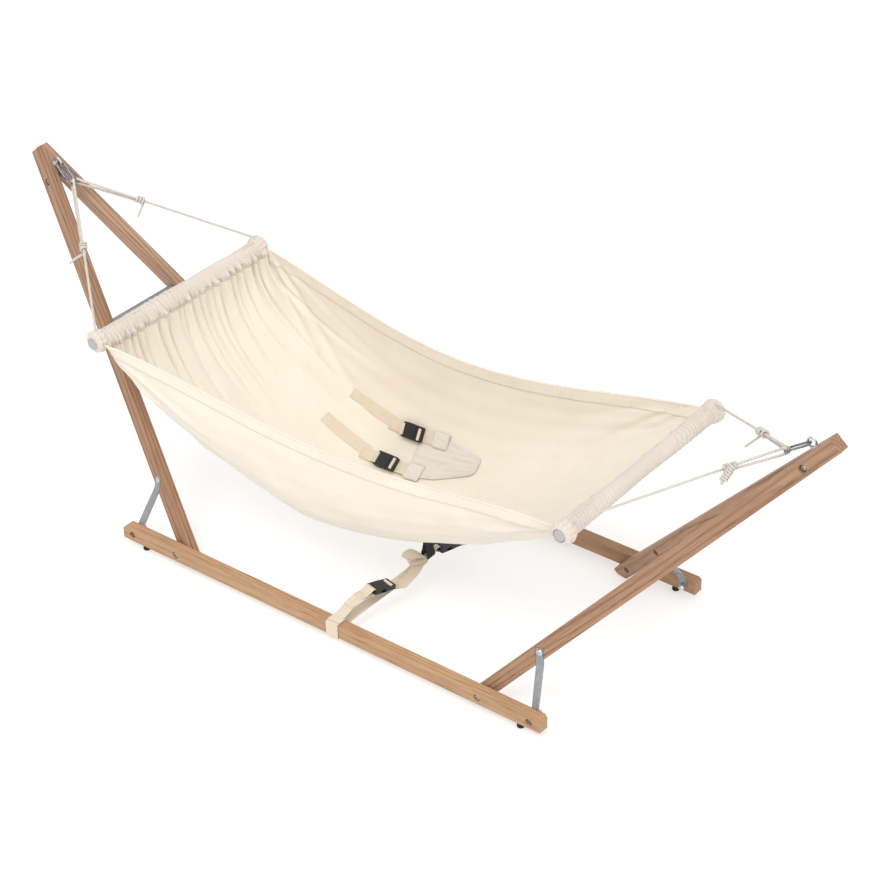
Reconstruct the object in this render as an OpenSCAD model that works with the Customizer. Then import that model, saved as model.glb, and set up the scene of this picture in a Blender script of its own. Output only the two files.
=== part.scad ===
// Baby hammock on a wooden stand: two A-frames leaning outwards over two floor rails,
// and a cloth bed hung between their tops from spreader bars, ropes and snap hooks.
// The origin is on the floor under the middle of the rails. +X points to the foot end.

/* [Rails] */
// Length of each floor rail
rail_l = 860; // [800:5:1000]
// Width of the stand over both rails
stand_w = 444; // [430:2:480]
// Thickness of the timber, across the rail
timber_t = 20; // [18:1:24]
// Height of the timber, as it stands on edge
timber_h = 25; // [23:1:30]
// Radius of the timber's softened edges
edge_r = 1.5; // [1:0.5:3]
// Height of the rubber feet
foot_h = 12; // [8:1:20]
// Diameter of the rubber feet
foot_d = 13; // [10:1:16]
// Distance of each foot from the rail's end
foot_in = 42; // [30:1:60]

/* [A-frames] */
// Angle by which each A-frame leans outwards
lean = 41.5; // [38:0.5:44]
// Angle between each leg and the middle line of its A-frame
spread = 15.25; // [14.75:0.25:15.75]
// Distance of the leg's pivot bolt from the rail's end
pivot_in = 118; // [112:1:124]
// Length of the leg below its pivot bolt, before its lower end is cut level
leg_tail = 30; // [22:1:30]
// Height of the leg's level cut above the floor
leg_clear = 2; // [1:0.5:4]
// Distance of the bolt through the apex below the point where the legs' middle lines meet
apex_bolt_drop = 59; // [56:1:62]
// Distance of the eye bolt below that point
eye_drop = 39; // [36:1:42]
// Distance of the steel cross tube from the leg's pivot, on the head frame
tube_s = 382; // [340:1:420]
// Diameter of the steel cross tube
tube_d = 12; // [10:1:14]

/* [Struts] */
// Width of the flat steel strut
strut_w = 12.5; // [11:0.5:14]
// Thickness of the flat steel strut
strut_t = 2.5; // [2:0.5:3]
// Distance of the strut's bolt from the rail's end
strut_in = 20.5; // [18:0.5:24]
// Distance of the strut's upper bolt from the leg's pivot, along the leg
strut_s = 121; // [116:1:126]

/* [Fasteners] */
// Diameter of the bolts
bolt_d = 6; // [5:0.5:6]
// Diameter of the bolts' round heads
head_d = 10.5; // [10:0.5:11]
// Hole through the eye bolt's ring
eye_hole_d = 10.4; // [10:0.1:12]
// Thickness of the eye bolt's wire
eye_wire_d = 4; // [3.5:0.5:4.5]
// Length of a snap hook
hook_l = 50; // [46:1:56]
// Width of a snap hook
hook_w = 18; // [17:1:20]
// Thickness of the snap hook's wire
hook_wire_d = 3.6; // [3.2:0.2:3.8]

/* [Bed] */
// Distance of the head bar from the middle of the stand
head_bar_x = 470; // [455:1:480]
// Height of the head bar
head_bar_z = 368; // [350:1:385]
// Distance of the foot bar from the middle of the stand
foot_bar_x = 455; // [440:1:470]
// Height of the foot bar
foot_bar_z = 378; // [360:1:390]
// Diameter of the spreader bars
bar_d = 20; // [18:1:24]
// Length of the spreader bars
bar_l = 410; // [396:1:430]
// Depth of the belly under the hems
belly_d = 238; // [200:1:245]
// Place of the deepest part, as a share of the bed's length
belly_at = 0.38; // [0.3:0.01:0.5]
// Sag of the hems between the bars
hem_sag = 57; // [40:1:70]
// How far each hem draws in at the middle
hem_waist = 28; // [20:1:40]
// Thickness of the cloth
cloth_t = 2; // [1.6:0.1:2.4]
// Depth of the long pleats below the head bar
pleat_d = 3; // [1:0.5:4]
// Diameter of the ropes
rope_d = 4.5; // [4:0.5:5]

/* [Straps] */
// Width of the webbing straps
strap_w = 25; // [20:1:30]
// Thickness of the webbing
strap_t = 1.5; // [1.2:0.1:2]
// Place of the tether along the stand, from its middle
tether_x = 26; // [0:1:60]

/* [Hidden] */

wood = [0.80, 0.62, 0.44];
steel = [0.66, 0.67, 0.69];
canvas = [0.93, 0.88, 0.75];
cotton = [0.86, 0.82, 0.74];
black_plastic = [0.09, 0.09, 0.10];

// Gap left between flat faces of bolted pieces, and between soft pieces and their seats
seat = 0.1;
soft_gap = 0.35;
// Radial clearance of a bolt in its hole
bolt_gap = 0.15;

rail_in = stand_w / 2 - timber_t;
rail_mid = stand_w / 2 - timber_t / 2;
rail_z = foot_h + timber_h / 2;
rail_top = foot_h + timber_h;
pivot_x = rail_l / 2 - pivot_in;
strut_x = rail_l / 2 - strut_in;

// The pivot washer sits between the rail's inner face and the leg's bevelled side
washer_t = 1.5;
washer_d = 16;
leg_face = rail_in - washer_t;
// Distance of the leg's middle line from the middle plane, level with the pivot
leg_half = rail_in - 1 - timber_t / 2 / cos(spread);
// Height along the A-frame's middle line at which the legs' middle lines meet
apex_s = leg_half / tan(spread);
apex_bolt_s = apex_s - apex_bolt_drop;
eye_s = apex_s - eye_drop;
// The counterbore of the bolt heads, and the depth of the shallow one at the pivot
bore_d = head_d + 1.7;
bore_depth = 6;
pivot_bore_depth = 3.5;
pocket_gap = 0.6;

function unit(v) = v / norm(v);
function mix(a, b, t) = a + (b - a) * t;

// Places its children in an A-frame: Z along its middle line, -X facing the bed.
// side is 1 for the foot frame and -1 for the head frame
module a_frame(side) {
    mirror([side < 0 ? 1 : 0, 0, 0]) translate([pivot_x, 0, rail_z]) rotate([0, lean, 0]) children();
}

// Places its children in the leg on the -Y side: Z along the leg from its pivot,
// -Y facing outwards
module in_leg() {
    translate([0, -leg_half, 0]) rotate([-spread, 0, 0]) children();
}

// mirrors its children to the other side of the stand when flip is set
module flip_y(flip) {
    mirror([0, flip ? 1 : 0, 0]) children();
}

// A timber with softened edges, along Z, a wide in X and b wide in Y
module timber(length, a, b) {
    linear_extrude(length) union() {
        square([a - 2 * edge_r, b], center = true);
        square([a, b - 2 * edge_r], center = true);
        for (i = [-1, 1], j = [-1, 1])
            translate([i * (a / 2 - edge_r), j * (b / 2 - edge_r)]) circle(edge_r, $fn = 24);
    }
}

// A round body along Y, from y0 to y1
module round_y(d, y0, y1, fn = 32) {
    translate([0, y0, 0]) rotate([-90, 0, 0]) cylinder(d = d, h = y1 - y0, $fn = fn);
}

// Stand

module rail(flip) {
    chamfer = 7;
    color(wood) flip_y(flip) difference() {
        translate([-rail_l / 2, -rail_mid, rail_z]) rotate([0, 90, 0])
            timber(rail_l, timber_h, timber_t);
        for (side = [-1, 1]) {
            translate([side * rail_l / 2, -rail_mid, rail_top]) rotate([0, 45, 0])
                cube([chamfer, timber_t + 2, chamfer], center = true);
            translate([side * strut_x, 0, rail_z]) {
                round_y(bolt_d + 2 * bolt_gap, -stand_w / 2 - 1, -rail_in + 1);
                round_y(bore_d, -stand_w / 2 - 1, -stand_w / 2 + bore_depth);
            }
            translate([side * pivot_x, 0, rail_z]) {
                round_y(bolt_d + 2 * bolt_gap, -stand_w / 2 - 1, -rail_in + 1);
                round_y(bore_d, -stand_w / 2 - 1, -stand_w / 2 + pivot_bore_depth);
            }
            translate([side * foot_x, -rail_mid, foot_h - 1])
                cylinder(d = screw_d + 0.2, h = screw_l - foot_seat + 1.2, $fn = 24);
        }
    }
}
foot_x = rail_l / 2 - foot_in;
screw_d = 3.5;
screw_l = 18;
foot_seat = 5;

// Four turned rubber feet, hollow below for their screws
module rubber_feet() {
    color(black_plastic) for (i = [-1, 1], j = [-1, 1])
        translate([i * foot_x, j * rail_mid, 0]) rotate_extrude($fn = 40) polygon([
            [screw_d / 2 + 0.2, foot_seat], [screw_d + 0.6, foot_seat], [screw_d + 0.6, 0],
            [foot_d / 2 - 1, 0], [foot_d / 2 - 0.2, 1], [foot_d / 2 - 1, foot_h - 0.02],
            [screw_d / 2 + 0.2, foot_h - 0.02]]);
}

module foot_screws() {
    color(steel) for (i = [-1, 1], j = [-1, 1])
        translate([i * foot_x, j * rail_mid, foot_seat - 0.1]) {
            translate([0, 0, -2]) cylinder(d = 2 * screw_d, h = 2, $fn = 24);
            cylinder(d = screw_d, h = screw_l - foot_seat + foot_h - 6, $fn = 24);
        }
}

// One leg with its mitre on the middle plane, its bevel against the rail, its bolt holes,
// the pocket that the strut's end is let into and its lower end cut level above the floor
module leg(side, flip) {
    color(wood) flip_y(flip) difference() {
        whole_leg(side);
        translate([-rail_l / 2, -stand_w / 2, leg_clear - 50]) cube([rail_l, stand_w, 50]);
    }
}

module whole_leg(side) {
    a_frame(side) difference() {
        in_leg() translate([0, 0, -leg_tail])
            timber(leg_tail + apex_s / cos(spread) + timber_t, timber_h, timber_t);
        translate([-50, 0, 0]) cube([100, 100, 2 * apex_s]);
        translate([-50, -leg_face - 100, -100]) cube([100, 100, 250]);
        translate([-50, -50, apex_s]) cube([100, 100, 100]);
        round_y(bolt_d + 2 * bolt_gap, -stand_w / 2, -leg_half + timber_t);
        round_y(nut_d + 2 * bolt_gap, -leg_half + pivot_nut_in, -leg_half + timber_t);
        translate([0, 0, apex_bolt_s]) {
            round_y(bolt_d + 2 * bolt_gap, -stand_w / 2, 1);
            round_y(bore_d, -stand_w / 2, -apex_seat);
        }
        translate([-60, 0, eye_s]) rotate([0, 90, 0])
            cylinder(d = eye_shank_d + 0.2, h = 60 + eye_shank_in + 1, $fn = 24);
        if (side < 0) translate([0, 0, tube_s]) round_y(tube_d + 0.3, -tube_end - 0.5, 0, 40);
        in_leg() translate([0, 0, strut_s]) {
            round_y(bolt_d + 2 * bolt_gap, -timber_t, timber_t);
            round_y(nut_d + 2 * bolt_gap, timber_t / 2 - nut_l, timber_t);
            translate([0, -timber_t / 2 + strut_t, 0]) rotate([0, -strut_turn, 0])
                translate([-strut_w / 2 - pocket_gap, -20, -40])
                    cube([strut_w + 2 * pocket_gap, 20, 40 + strut_over + pocket_gap]);
        }
    }
}
nut_d = 11;
nut_l = 7;
pivot_nut_in = 1.5;
// Seat of the apex bolt's head, from the middle plane
apex_seat = (apex_s - apex_bolt_s) * tan(spread) + timber_t / 2 / cos(spread) - 5;
eye_shank_d = 5;
eye_shank_in = 8;
// Half length of the cross tube, let 8 mm into each leg
tube_end = (apex_s - tube_s) * tan(spread) - timber_t / 2 / cos(spread) + 8;

module head_cross_tube() {
    color(steel) a_frame(-1) translate([0, 0, tube_s]) difference() {
        round_y(tube_d, -tube_end, tube_end, 40);
        round_y(tube_d - 3, -tube_end - 1, tube_end + 1, 40);
    }
}

// Struts: a tab flat on the rail, a slanting bar and a tab let into the leg's side.
// The upper tab runs strut_turn away from the leg, worked out from the two bolts
strut_low = [strut_x, -rail_in + strut_t / 2, rail_z];
strut_high = in_a([0, -leg_half, 0] + turn_x([0, -timber_t / 2 + strut_t / 2, strut_s]));
function turn_x(p) = [p.x, p.y * cos(spread) + p.z * sin(spread), -p.y * sin(spread) + p.z * cos(spread)];
function in_a(p) = [pivot_x + p.x * cos(lean) + p.z * sin(lean), p.y,
    rail_z - p.x * sin(lean) + p.z * cos(lean)];
strut_run = unit(strut_high - strut_low);
leg_x = [cos(lean), 0, -sin(lean)];
leg_z = [cos(spread) * sin(lean), sin(spread), cos(spread) * cos(lean)];
strut_turn = atan2(-strut_run * leg_x, strut_run * leg_z);
strut_tilt = atan2(-strut_run.x, strut_run.z);
strut_over = 8;
strut_bend = 20;
// Ends of the slanting bar, and the domed stud on its inner face
bar_low = strut_low + [-sin(strut_tilt), 0, cos(strut_tilt)] * strut_w;
bar_high = strut_high - (leg_z * cos(strut_turn) - leg_x * sin(strut_turn)) * strut_bend;
stud_up = 14;
stud_d = 8.4;
stud_h = 4.6;

// A flat bar end along Z, round when round_end is set, with its bolt hole at the origin
module tab(down, up, round_end) {
    rotate([90, 0, 0]) translate([0, 0, -strut_t / 2]) linear_extrude(strut_t) difference() {
        union() {
            translate([-strut_w / 2, -down]) square([strut_w, down + up]);
            if (round_end) circle(d = strut_w, $fn = 40);
        }
        circle(d = bolt_d + 2 * bolt_gap, $fn = 32);
    }
}

module low_tab_place() {
    translate(strut_low) rotate([0, -strut_tilt, 0]) children();
}

module high_tab_place() {
    a_frame(1) in_leg() translate([0, -timber_t / 2 + strut_t / 2, strut_s])
        rotate([0, -strut_turn, 0]) children();
}

module strut(side, flip) {
    color(steel) flip_y(flip) mirror([side < 0 ? 1 : 0, 0, 0]) {
        low_tab_place() tab(0, strut_w, true);
        high_tab_place() tab(strut_bend, strut_over, false);
        hull() {
            low_tab_place() translate([0, 0, strut_w - 0.2]) bar_end_slice();
            high_tab_place() translate([0, 0, 0.2 - strut_bend]) bar_end_slice();
        }
        translate(bar_low + unit(bar_high - bar_low) * stud_up)
            turned_to(unit(cross(bar_high - bar_low, [cos(strut_tilt), 0, sin(strut_tilt)])))
                rotate_extrude($fn = 32) polygon([[0, 0], [stud_d / 2, 0], [stud_d / 2, stud_h * 0.5],
                    [stud_d * 0.38, stud_h * 0.8], [stud_d * 0.2, stud_h * 0.96], [0, stud_h]]);
    }
}

module bar_end_slice() {
    cube([strut_w - 0.04, strut_t - 0.04, 0.2], center = true);
}

// Turns its children's Z axis to the unit vector n
module turned_to(n) {
    rotate([0, acos(n.z), atan2(n.y, n.x)]) children();
}

// Fasteners

// A round-headed bolt along Y from the outer side: head at -Y, shank of length l from the seat
module bolt_y(l, head_h = 3) {
    difference() {
        union() {
            rotate([90, 0, 0]) rotate_extrude($fn = 40) polygon([[0, 0], [head_d / 2, 0],
                [head_d / 2, head_h * 0.45], [head_d / 2 - 1.4, head_h * 0.85],
                [head_d / 2 - 2.6, head_h], [0, head_h]]);
            round_y(bolt_d, 0, l);
        }
        translate([0, -head_h + 1.8, 0]) rotate([90, 0, 0]) cylinder(d = 4.6, h = 3, $fn = 6);
    }
}

// A domed cap nut along Y, seated at y = 0
module cap_nut_y() {
    nut_h = 5.5;
    difference() {
        union() {
            rotate([-90, 0, 0]) cylinder(d = 11.3, h = nut_h, $fn = 6);
            translate([0, nut_h, 0]) rotate([-90, 0, 0]) rotate_extrude($fn = 40) intersection() {
                circle(d = dome_d, $fn = 40);
                square([dome_d, dome_d]);
            }
        }
        round_y(bolt_d + 0.3, -1, 9);
    }
}
dome_d = 9.6;

module rail_end_bolts() {
    color(steel) for (i = [-1, 1], j = [0, 1]) flip_y(j == 1)
        translate([i * strut_x, -stand_w / 2 + bore_depth, rail_z])
            bolt_y(timber_t - bore_depth + strut_t + 6);
}

// Cap nuts on the struts' lower tabs
module rail_end_nuts() {
    color(steel) for (i = [-1, 1], j = [0, 1]) flip_y(j == 1)
        translate([i * strut_x, -rail_in + strut_t + seat, rail_z]) cap_nut_y();
}

module pivot_bolts() {
    color(steel) for (i = [-1, 1], j = [0, 1]) flip_y(j == 1)
        translate([i * pivot_x, -stand_w / 2 + pivot_bore_depth, rail_z])
            bolt_y(stand_w / 2 - pivot_bore_depth - leg_half + 7);
}

// Sleeve nuts sunk in the legs' inner sides
module sleeve_nut_y(l) {
    difference() {
        round_y(nut_d, 0, l);
        round_y(bolt_d + 0.2, -1, l - 1.5);
        translate([0, l, 0]) cube([nut_d - 3, 2, 1.6], center = true);
    }
}

module pivot_nuts() {
    color(steel) for (side = [-1, 1], j = [0, 1]) flip_y(j == 1) a_frame(side)
        translate([0, -leg_half + pivot_nut_in + seat, 0]) sleeve_nut_y(nut_l);
}

module pivot_washers() {
    color(steel) for (i = [-1, 1], j = [0, 1]) flip_y(j == 1) translate([i * pivot_x, 0, rail_z])
        difference() {
            round_y(washer_d, -rail_in, -leg_face);
            round_y(bolt_d + 0.4, -rail_in - 1, -leg_face + 1);
        }
}

module strut_bolts() {
    color(steel) for (side = [-1, 1], j = [0, 1]) flip_y(j == 1) a_frame(side) in_leg()
        translate([0, -timber_t / 2 - seat, strut_s]) bolt_y(timber_t - 3, 2.6);
}

module strut_nuts() {
    color(steel) for (side = [-1, 1], j = [0, 1]) flip_y(j == 1) a_frame(side) in_leg()
        translate([0, timber_t / 2 - nut_l + seat, strut_s]) sleeve_nut_y(nut_l - 0.6);
}

module apex_bolts() {
    color(steel) for (side = [-1, 1]) a_frame(side)
        translate([0, -apex_seat, apex_bolt_s]) bolt_y(2 * apex_seat + 3);
}

module apex_nuts() {
    color(steel) for (side = [-1, 1]) a_frame(side)
        translate([0, apex_seat + seat, apex_bolt_s]) difference() {
            round_y(head_d, 0, 5);
            round_y(bolt_d + 0.3, -1, 3.6);
        }
}

eye_ring_r = (eye_hole_d + eye_wire_d) / 2;
eye_out = 21;
eye_collar_d = 12;
eye_collar_t = 1.2;

// Each eye bolt is screwed into the apex from the bed's side: a ring, a shank and a collar
module eye_bolts() {
    color(steel) for (side = [-1, 1]) a_frame(side) translate([0, 0, eye_s]) {
        translate([-eye_out, 0, 0]) rotate([90, 0, 0]) rotate_extrude($fn = 48)
            translate([eye_ring_r, 0]) circle(d = eye_wire_d, $fn = 24);
        translate([-eye_out + eye_ring_r + eye_wire_d / 4, 0, 0]) rotate([0, 90, 0])
            cylinder(d = eye_shank_d, h = eye_out + eye_shank_in - eye_ring_r - eye_wire_d / 4, $fn = 24);
        translate([-timber_h / 2 - seat - eye_collar_t, 0, 0]) rotate([0, 90, 0])
            cylinder(d = eye_collar_d, h = eye_collar_t, $fn = 32);
    }
}

// Snap hooks. Each lies flat in a plane with the stand's Y axis and hangs from the eye
// towards the bed. Its own frame has Z down its length from the bend in the eye, and Y across

eye_x = pivot_x + eye_s * sin(lean) - eye_out * cos(lean);
eye_z = rail_z + eye_s * cos(lean) + eye_out * sin(lean);
hook_r = (hook_w - hook_wire_d) / 2;
// Slope of the hooks below the horizontal
hook_slope = 35;
// Fan of the two head hooks, each to its own side, and how far their planes lie apart
hook_fan = 10;
hook_stack = hook_wire_d + 0.4;
single_in = eye_hole_d / 2 - hook_wire_d / 2 - 0.45;
double_in = sqrt(pow(single_in, 2) - pow(hook_stack / 2, 2));
gate_pivot = hook_l - 15;
gate_tip = 13;
gate_d = 3.2;
lug_r = 2.3;

// side: 1 foot, -1 head. fan: 0, or the side to which a head hook points
module hook_place(side, fan) {
    mirror([side < 0 ? 1 : 0, 0, 0]) translate([eye_x, 0, eye_z])
        rotate([0, 270 - hook_slope, 0])
            translate([-fan * hook_stack / 2, 0, fan == 0 ? single_in : double_in])
                rotate([-fan * hook_fan, 0, 0]) children();
}

module wire_z(y, z0, z1, d = hook_wire_d) {
    translate([0, y, z0]) cylinder(d = d, h = z1 - z0, $fn = 24);
}

module bend(z, up) {
    translate([0, 0, z]) rotate([0, 90, 0]) rotate([0, 0, up ? -90 : 90])
        rotate_extrude(angle = 180, $fn = 48) translate([hook_r, 0]) circle(d = hook_wire_d, $fn = 24);
}

// gate_side says on which limb the gate is
module hook_body(gate_side) {
    z0 = hook_r;
    z1 = hook_l - hook_wire_d - hook_r;
    difference() {
        union() {
            bend(z0, true);
            bend(z1, false);
            wire_z(-gate_side * hook_r, z0 - 0.05, z1 + 0.05);
            wire_z(gate_side * hook_r, z0 - 0.05, gate_tip - 0.4);
            wire_z(gate_side * hook_r, gate_pivot + lug_r - 0.4, z1 + 0.05);
            translate([-0.7, gate_side * hook_r, gate_pivot]) rotate([0, 90, 0])
                cylinder(r = lug_r, h = 1.4, $fn = 32);
        }
        translate([-5, gate_side * hook_r, gate_pivot]) rotate([0, 90, 0])
            cylinder(r = 1.0, h = 10, $fn = 24);
        for (s = [-1, 1]) translate([s * 3.7, gate_side * hook_r, gate_pivot])
            cube([6, 2 * (lug_r + 0.5) + 1, 2 * (lug_r + 0.5)], center = true);
    }
}

module gate(gate_side) {
    difference() {
        union() {
            wire_z(gate_side * hook_r, gate_tip, gate_pivot - lug_r - 0.4, gate_d);
            for (s = [-1, 1]) translate([s * 1.35 - 0.5, gate_side * hook_r, gate_pivot]) {
                rotate([0, 90, 0]) cylinder(r = lug_r - 0.1, h = 1, $fn = 32);
                translate([0, -1.2, -lug_r - 1.4]) cube([1, 2.4, lug_r + 1.4]);
            }
        }
        translate([-5, gate_side * hook_r, gate_pivot]) rotate([0, 90, 0])
            cylinder(r = 1.05, h = 10, $fn = 24);
    }
}

module gate_pin(gate_side) {
    translate([-2.2, gate_side * hook_r, gate_pivot]) rotate([0, 90, 0])
        cylinder(r = 1.0, h = 4.4, $fn = 24);
}

module hook_pins() {
    color(steel) {
        hook_place(-1, -1) gate_pin(-1);
        hook_place(-1, 1) gate_pin(1);
        hook_place(1, 0) gate_pin(-1);
    }
}

// Spreader bars with the cloth's channels round them

bar_end = bar_l / 2;
cap_t = 3;
channel_end = bar_end - 13;
channel_r = bar_d / 2 + 5;

module along_y(x, z) {
    translate([x, 0, z]) children();
}

module bar(x, z) {
    color(wood) along_y(x, z) round_y(bar_d, -bar_end, bar_end, 48);
}

module bar_end_caps() {
    color([0.82, 0.82, 0.80]) for (b = [[-head_bar_x, head_bar_z], [foot_bar_x, foot_bar_z]], j = [0, 1])
        flip_y(j == 1) along_y(b[0], b[1]) translate([0, -bar_end - 0.05, 0]) rotate([90, 0, 0])
            rotate_extrude($fn = 48) polygon([[0, 0], [bar_d / 2, 0], [bar_d / 2, cap_t - 1],
                [bar_d / 2 - 1, cap_t], [0, cap_t]]);
}

// The gathered channel: a sleeve whose wall swells and draws in along the bar
function ruche(i, j, n) = 0.75 * sin(i * 137) + 0.45 * sin(j * 60 + i * 80);
module channel(x, z, n) {
    m = 12;
    inner = bar_d / 2 + soft_gap;
    ring = concat([for (i = [0:n]) [for (j = [0:m - 1])
        let(r = channel_r - 1.2 + (i == 0 || i == n ? -1 : ruche(i, j, n)), a = j * 360 / m)
        [r * cos(a), -channel_end + 2 * channel_end * i / n, r * sin(a)]]],
        [for (i = [0, 1]) [for (j = [0:m - 1])
        let(a = j * 360 / m) [inner / cos(180 / m) * cos(a), (1 - 2 * i) * channel_end,
            inner / cos(180 / m) * sin(a)]]]);
    rows = len(ring);
    color(canvas) along_y(x, z) polyhedron([for (r = ring) each r],
        [for (i = [0:rows - 1], j = [0:m - 1], f = [0, 1])
            let(a = i * m + j, b = i * m + (j + 1) % m, c = ((i + 1) % rows) * m + j,
                d = ((i + 1) % rows) * m + (j + 1) % m)
            f == 0 ? [a, b, c] : [b, d, c]]);
}

// Bed cloth. f runs from 0 at the head to 1 at the foot, w from -1 at the left hem to 1 at
// the right hem. The section is a full curve with nearly upright sides

cloth_x0 = -head_bar_x + channel_r + cloth_t / 2 + soft_gap;
cloth_x1 = foot_bar_x - channel_r - cloth_t / 2 - soft_gap;
half_head = bar_end - 7;
half_foot = bar_end - 11;
// Fullness of the section's sides, and how the belly rises towards each end
side_power = 0.68;
head_power = 2;
foot_power = 1.15;

function hem_y(f) = mix(half_head, half_foot, f) - hem_waist * pow(sin(180 * f), 0.9);
function hem_z(f) = mix(head_bar_z, foot_bar_z, f) - hem_sag * pow(sin(180 * f), 1.5);
function depth(f) = belly_d * sqrt(max(0, 1 - (f < belly_at
    ? pow((belly_at - f) / belly_at, head_power) : pow((f - belly_at) / (1 - belly_at), foot_power))));
function cloth(f, w) = let(a = 90 * pow(1 - abs(w), 1.4), s = w < 0 ? -1 : 1)
    [mix(cloth_x0, cloth_x1, f), s * hem_y(f) * cos(a), hem_z(f) - depth(f) * pow(sin(a), side_power)];
function cloth_n(f, w) = let(e = 0.004, g = min(max(f, e), 1 - e), v = min(max(w, e - 1), 1 - e),
    a = cloth(g + e, v) - cloth(g - e, v), b = cloth(g, v + e) - cloth(g, v - e)) unit(cross(a, b));
// Long pleats fan from the head bar and shorter gathers from the foot bar
function pleat(f, w) = pleat_d * max(0, 1 - f / 0.3) * min(1, f / 0.04) * cos(w * 1350) * (1 - w * w)
    + 0.5 * pleat_d * max(0, (f - 0.85) / 0.15) * min(1, (1 - f) / 0.04) * cos(w * 1350) * (1 - w * w);

// A closed solid between two grids of points, the lower one and the upper one
module sheet(low, high) {
    rows = len(low);
    cols = len(low[0]);
    half = rows * cols;
    polyhedron([for (g = [low, high]) for (r = g) each r], concat(
        [for (i = [0:rows - 2], j = [0:cols - 2], k = [0, 1]) let(a = i * cols + j)
            k == 0 ? [a, a + cols, a + 1] : [a + 1, a + cols, a + cols + 1]],
        [for (i = [0:rows - 2], j = [0:cols - 2], k = [0, 1]) let(a = half + i * cols + j)
            k == 0 ? [a, a + 1, a + cols] : [a + 1, a + cols + 1, a + cols]],
        [for (i = [0:rows - 2], e = [0, 1], k = [0, 1])
            let(a = i * cols + e * (cols - 1), b = a + cols, c = a + half, d = b + half)
            e == 0 ? (k == 0 ? [a, c, b] : [b, c, d]) : (k == 0 ? [a, b, c] : [b, d, c])],
        [for (j = [0:cols - 2], e = [0, 1], k = [0, 1])
            let(a = e * (rows - 1) * cols + j, b = a + 1, c = a + half, d = b + half)
            e == 0 ? (k == 0 ? [a, b, c] : [b, d, c]) : (k == 0 ? [a, c, b] : [b, c, d])]));
}

module bed_cloth() {
    rows = 22;
    cols = 24;
    fs = [for (i = [0:rows]) (1 - cos(180 * i / rows)) / 2];
    ws = [for (j = [0:cols]) -1 + 2 * j / cols];
    function side(s) = [for (f = fs) [for (w = ws)
        let(t = (abs(w) > 0.95 ? hem_t : cloth_t) / 2)
        cloth(f, w) + cloth_n(f, w) * (pleat(f, w) + s * t)]];
    color(canvas) sheet(side(-1), side(1));
}
hem_t = cloth_t + 1.4;

// Swept forms: a tube of m sides, or a flat ribbon, through a list of points

function tangent(p, i) = unit(p[min(i + 1, len(p) - 1)] - p[max(i - 1, 0)]);
// Carries a side vector along the route without twist
function carry(p, v, i = 0) = i >= len(p) ? [] : let(t = tangent(p, i), q = unit(v - t * (v * t)))
    concat([q], carry(p, q, i + 1));

module tube_sweep(p, d, m = 8) {
    n = len(p);
    side = carry(p, abs(tangent(p, 0).z) > 0.9 ? [1, 0, 0] : [0, 0, 1]);
    pts = [for (i = [0:n - 1]) let(t = tangent(p, i), u = side[i], v = cross(t, u))
        for (j = [0:m - 1]) p[i] + (u * cos(j * 360 / m) + v * sin(j * 360 / m)) * d / 2];
    polyhedron(pts, concat([[for (j = [0:m - 1]) j]], [[for (j = [m - 1:-1:0]) (n - 1) * m + j]],
        [for (i = [0:n - 2], j = [0:m - 1], k = [0, 1])
            let(a = i * m + j, b = i * m + (j + 1) % m, c = a + m, e = b + m)
            k == 0 ? [a, c, b] : [b, c, e]]));
}

// A ribbon through points p with upright vectors up, w wide and t thick
module ribbon(p, up, w, t) {
    n = len(p);
    pts = [for (i = [0:n - 1]) let(d = tangent(p, i), s = unit(cross(d, up[i])), u = cross(s, d))
        each [p[i] - s * w[i] / 2 - u * t / 2, p[i] + s * w[i] / 2 - u * t / 2,
            p[i] + s * w[i] / 2 + u * t / 2, p[i] - s * w[i] / 2 + u * t / 2]];
    polyhedron(pts, concat([[3, 2, 1, 0]], [[for (j = [0:3]) (n - 1) * 4 + j]],
        [for (i = [0:n - 2], j = [0:3], k = [0, 1])
            let(a = i * 4 + j, b = i * 4 + (j + 1) % 4) k == 0 ? [a, b, a + 4] : [b, b + 4, a + 4]]));
}

// Ropes: once round the bar's end, straight to the hook, round its end and back to a knot of
// three turns round the rope itself, with a short free tail

knot_turns = 3;
rope_gap = 0.5;
function hook_end(side, fan) = let(d = hook_l - hook_wire_d, g = fan * hook_fan,
        s = (fan == 0 ? single_in : double_in) + d * cos(g), n = fan * hook_stack / 2)
    [side * (eye_x - s * cos(hook_slope) + n * sin(hook_slope)), d * sin(g),
        eye_z - s * sin(hook_slope) - n * cos(hook_slope)];

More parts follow.
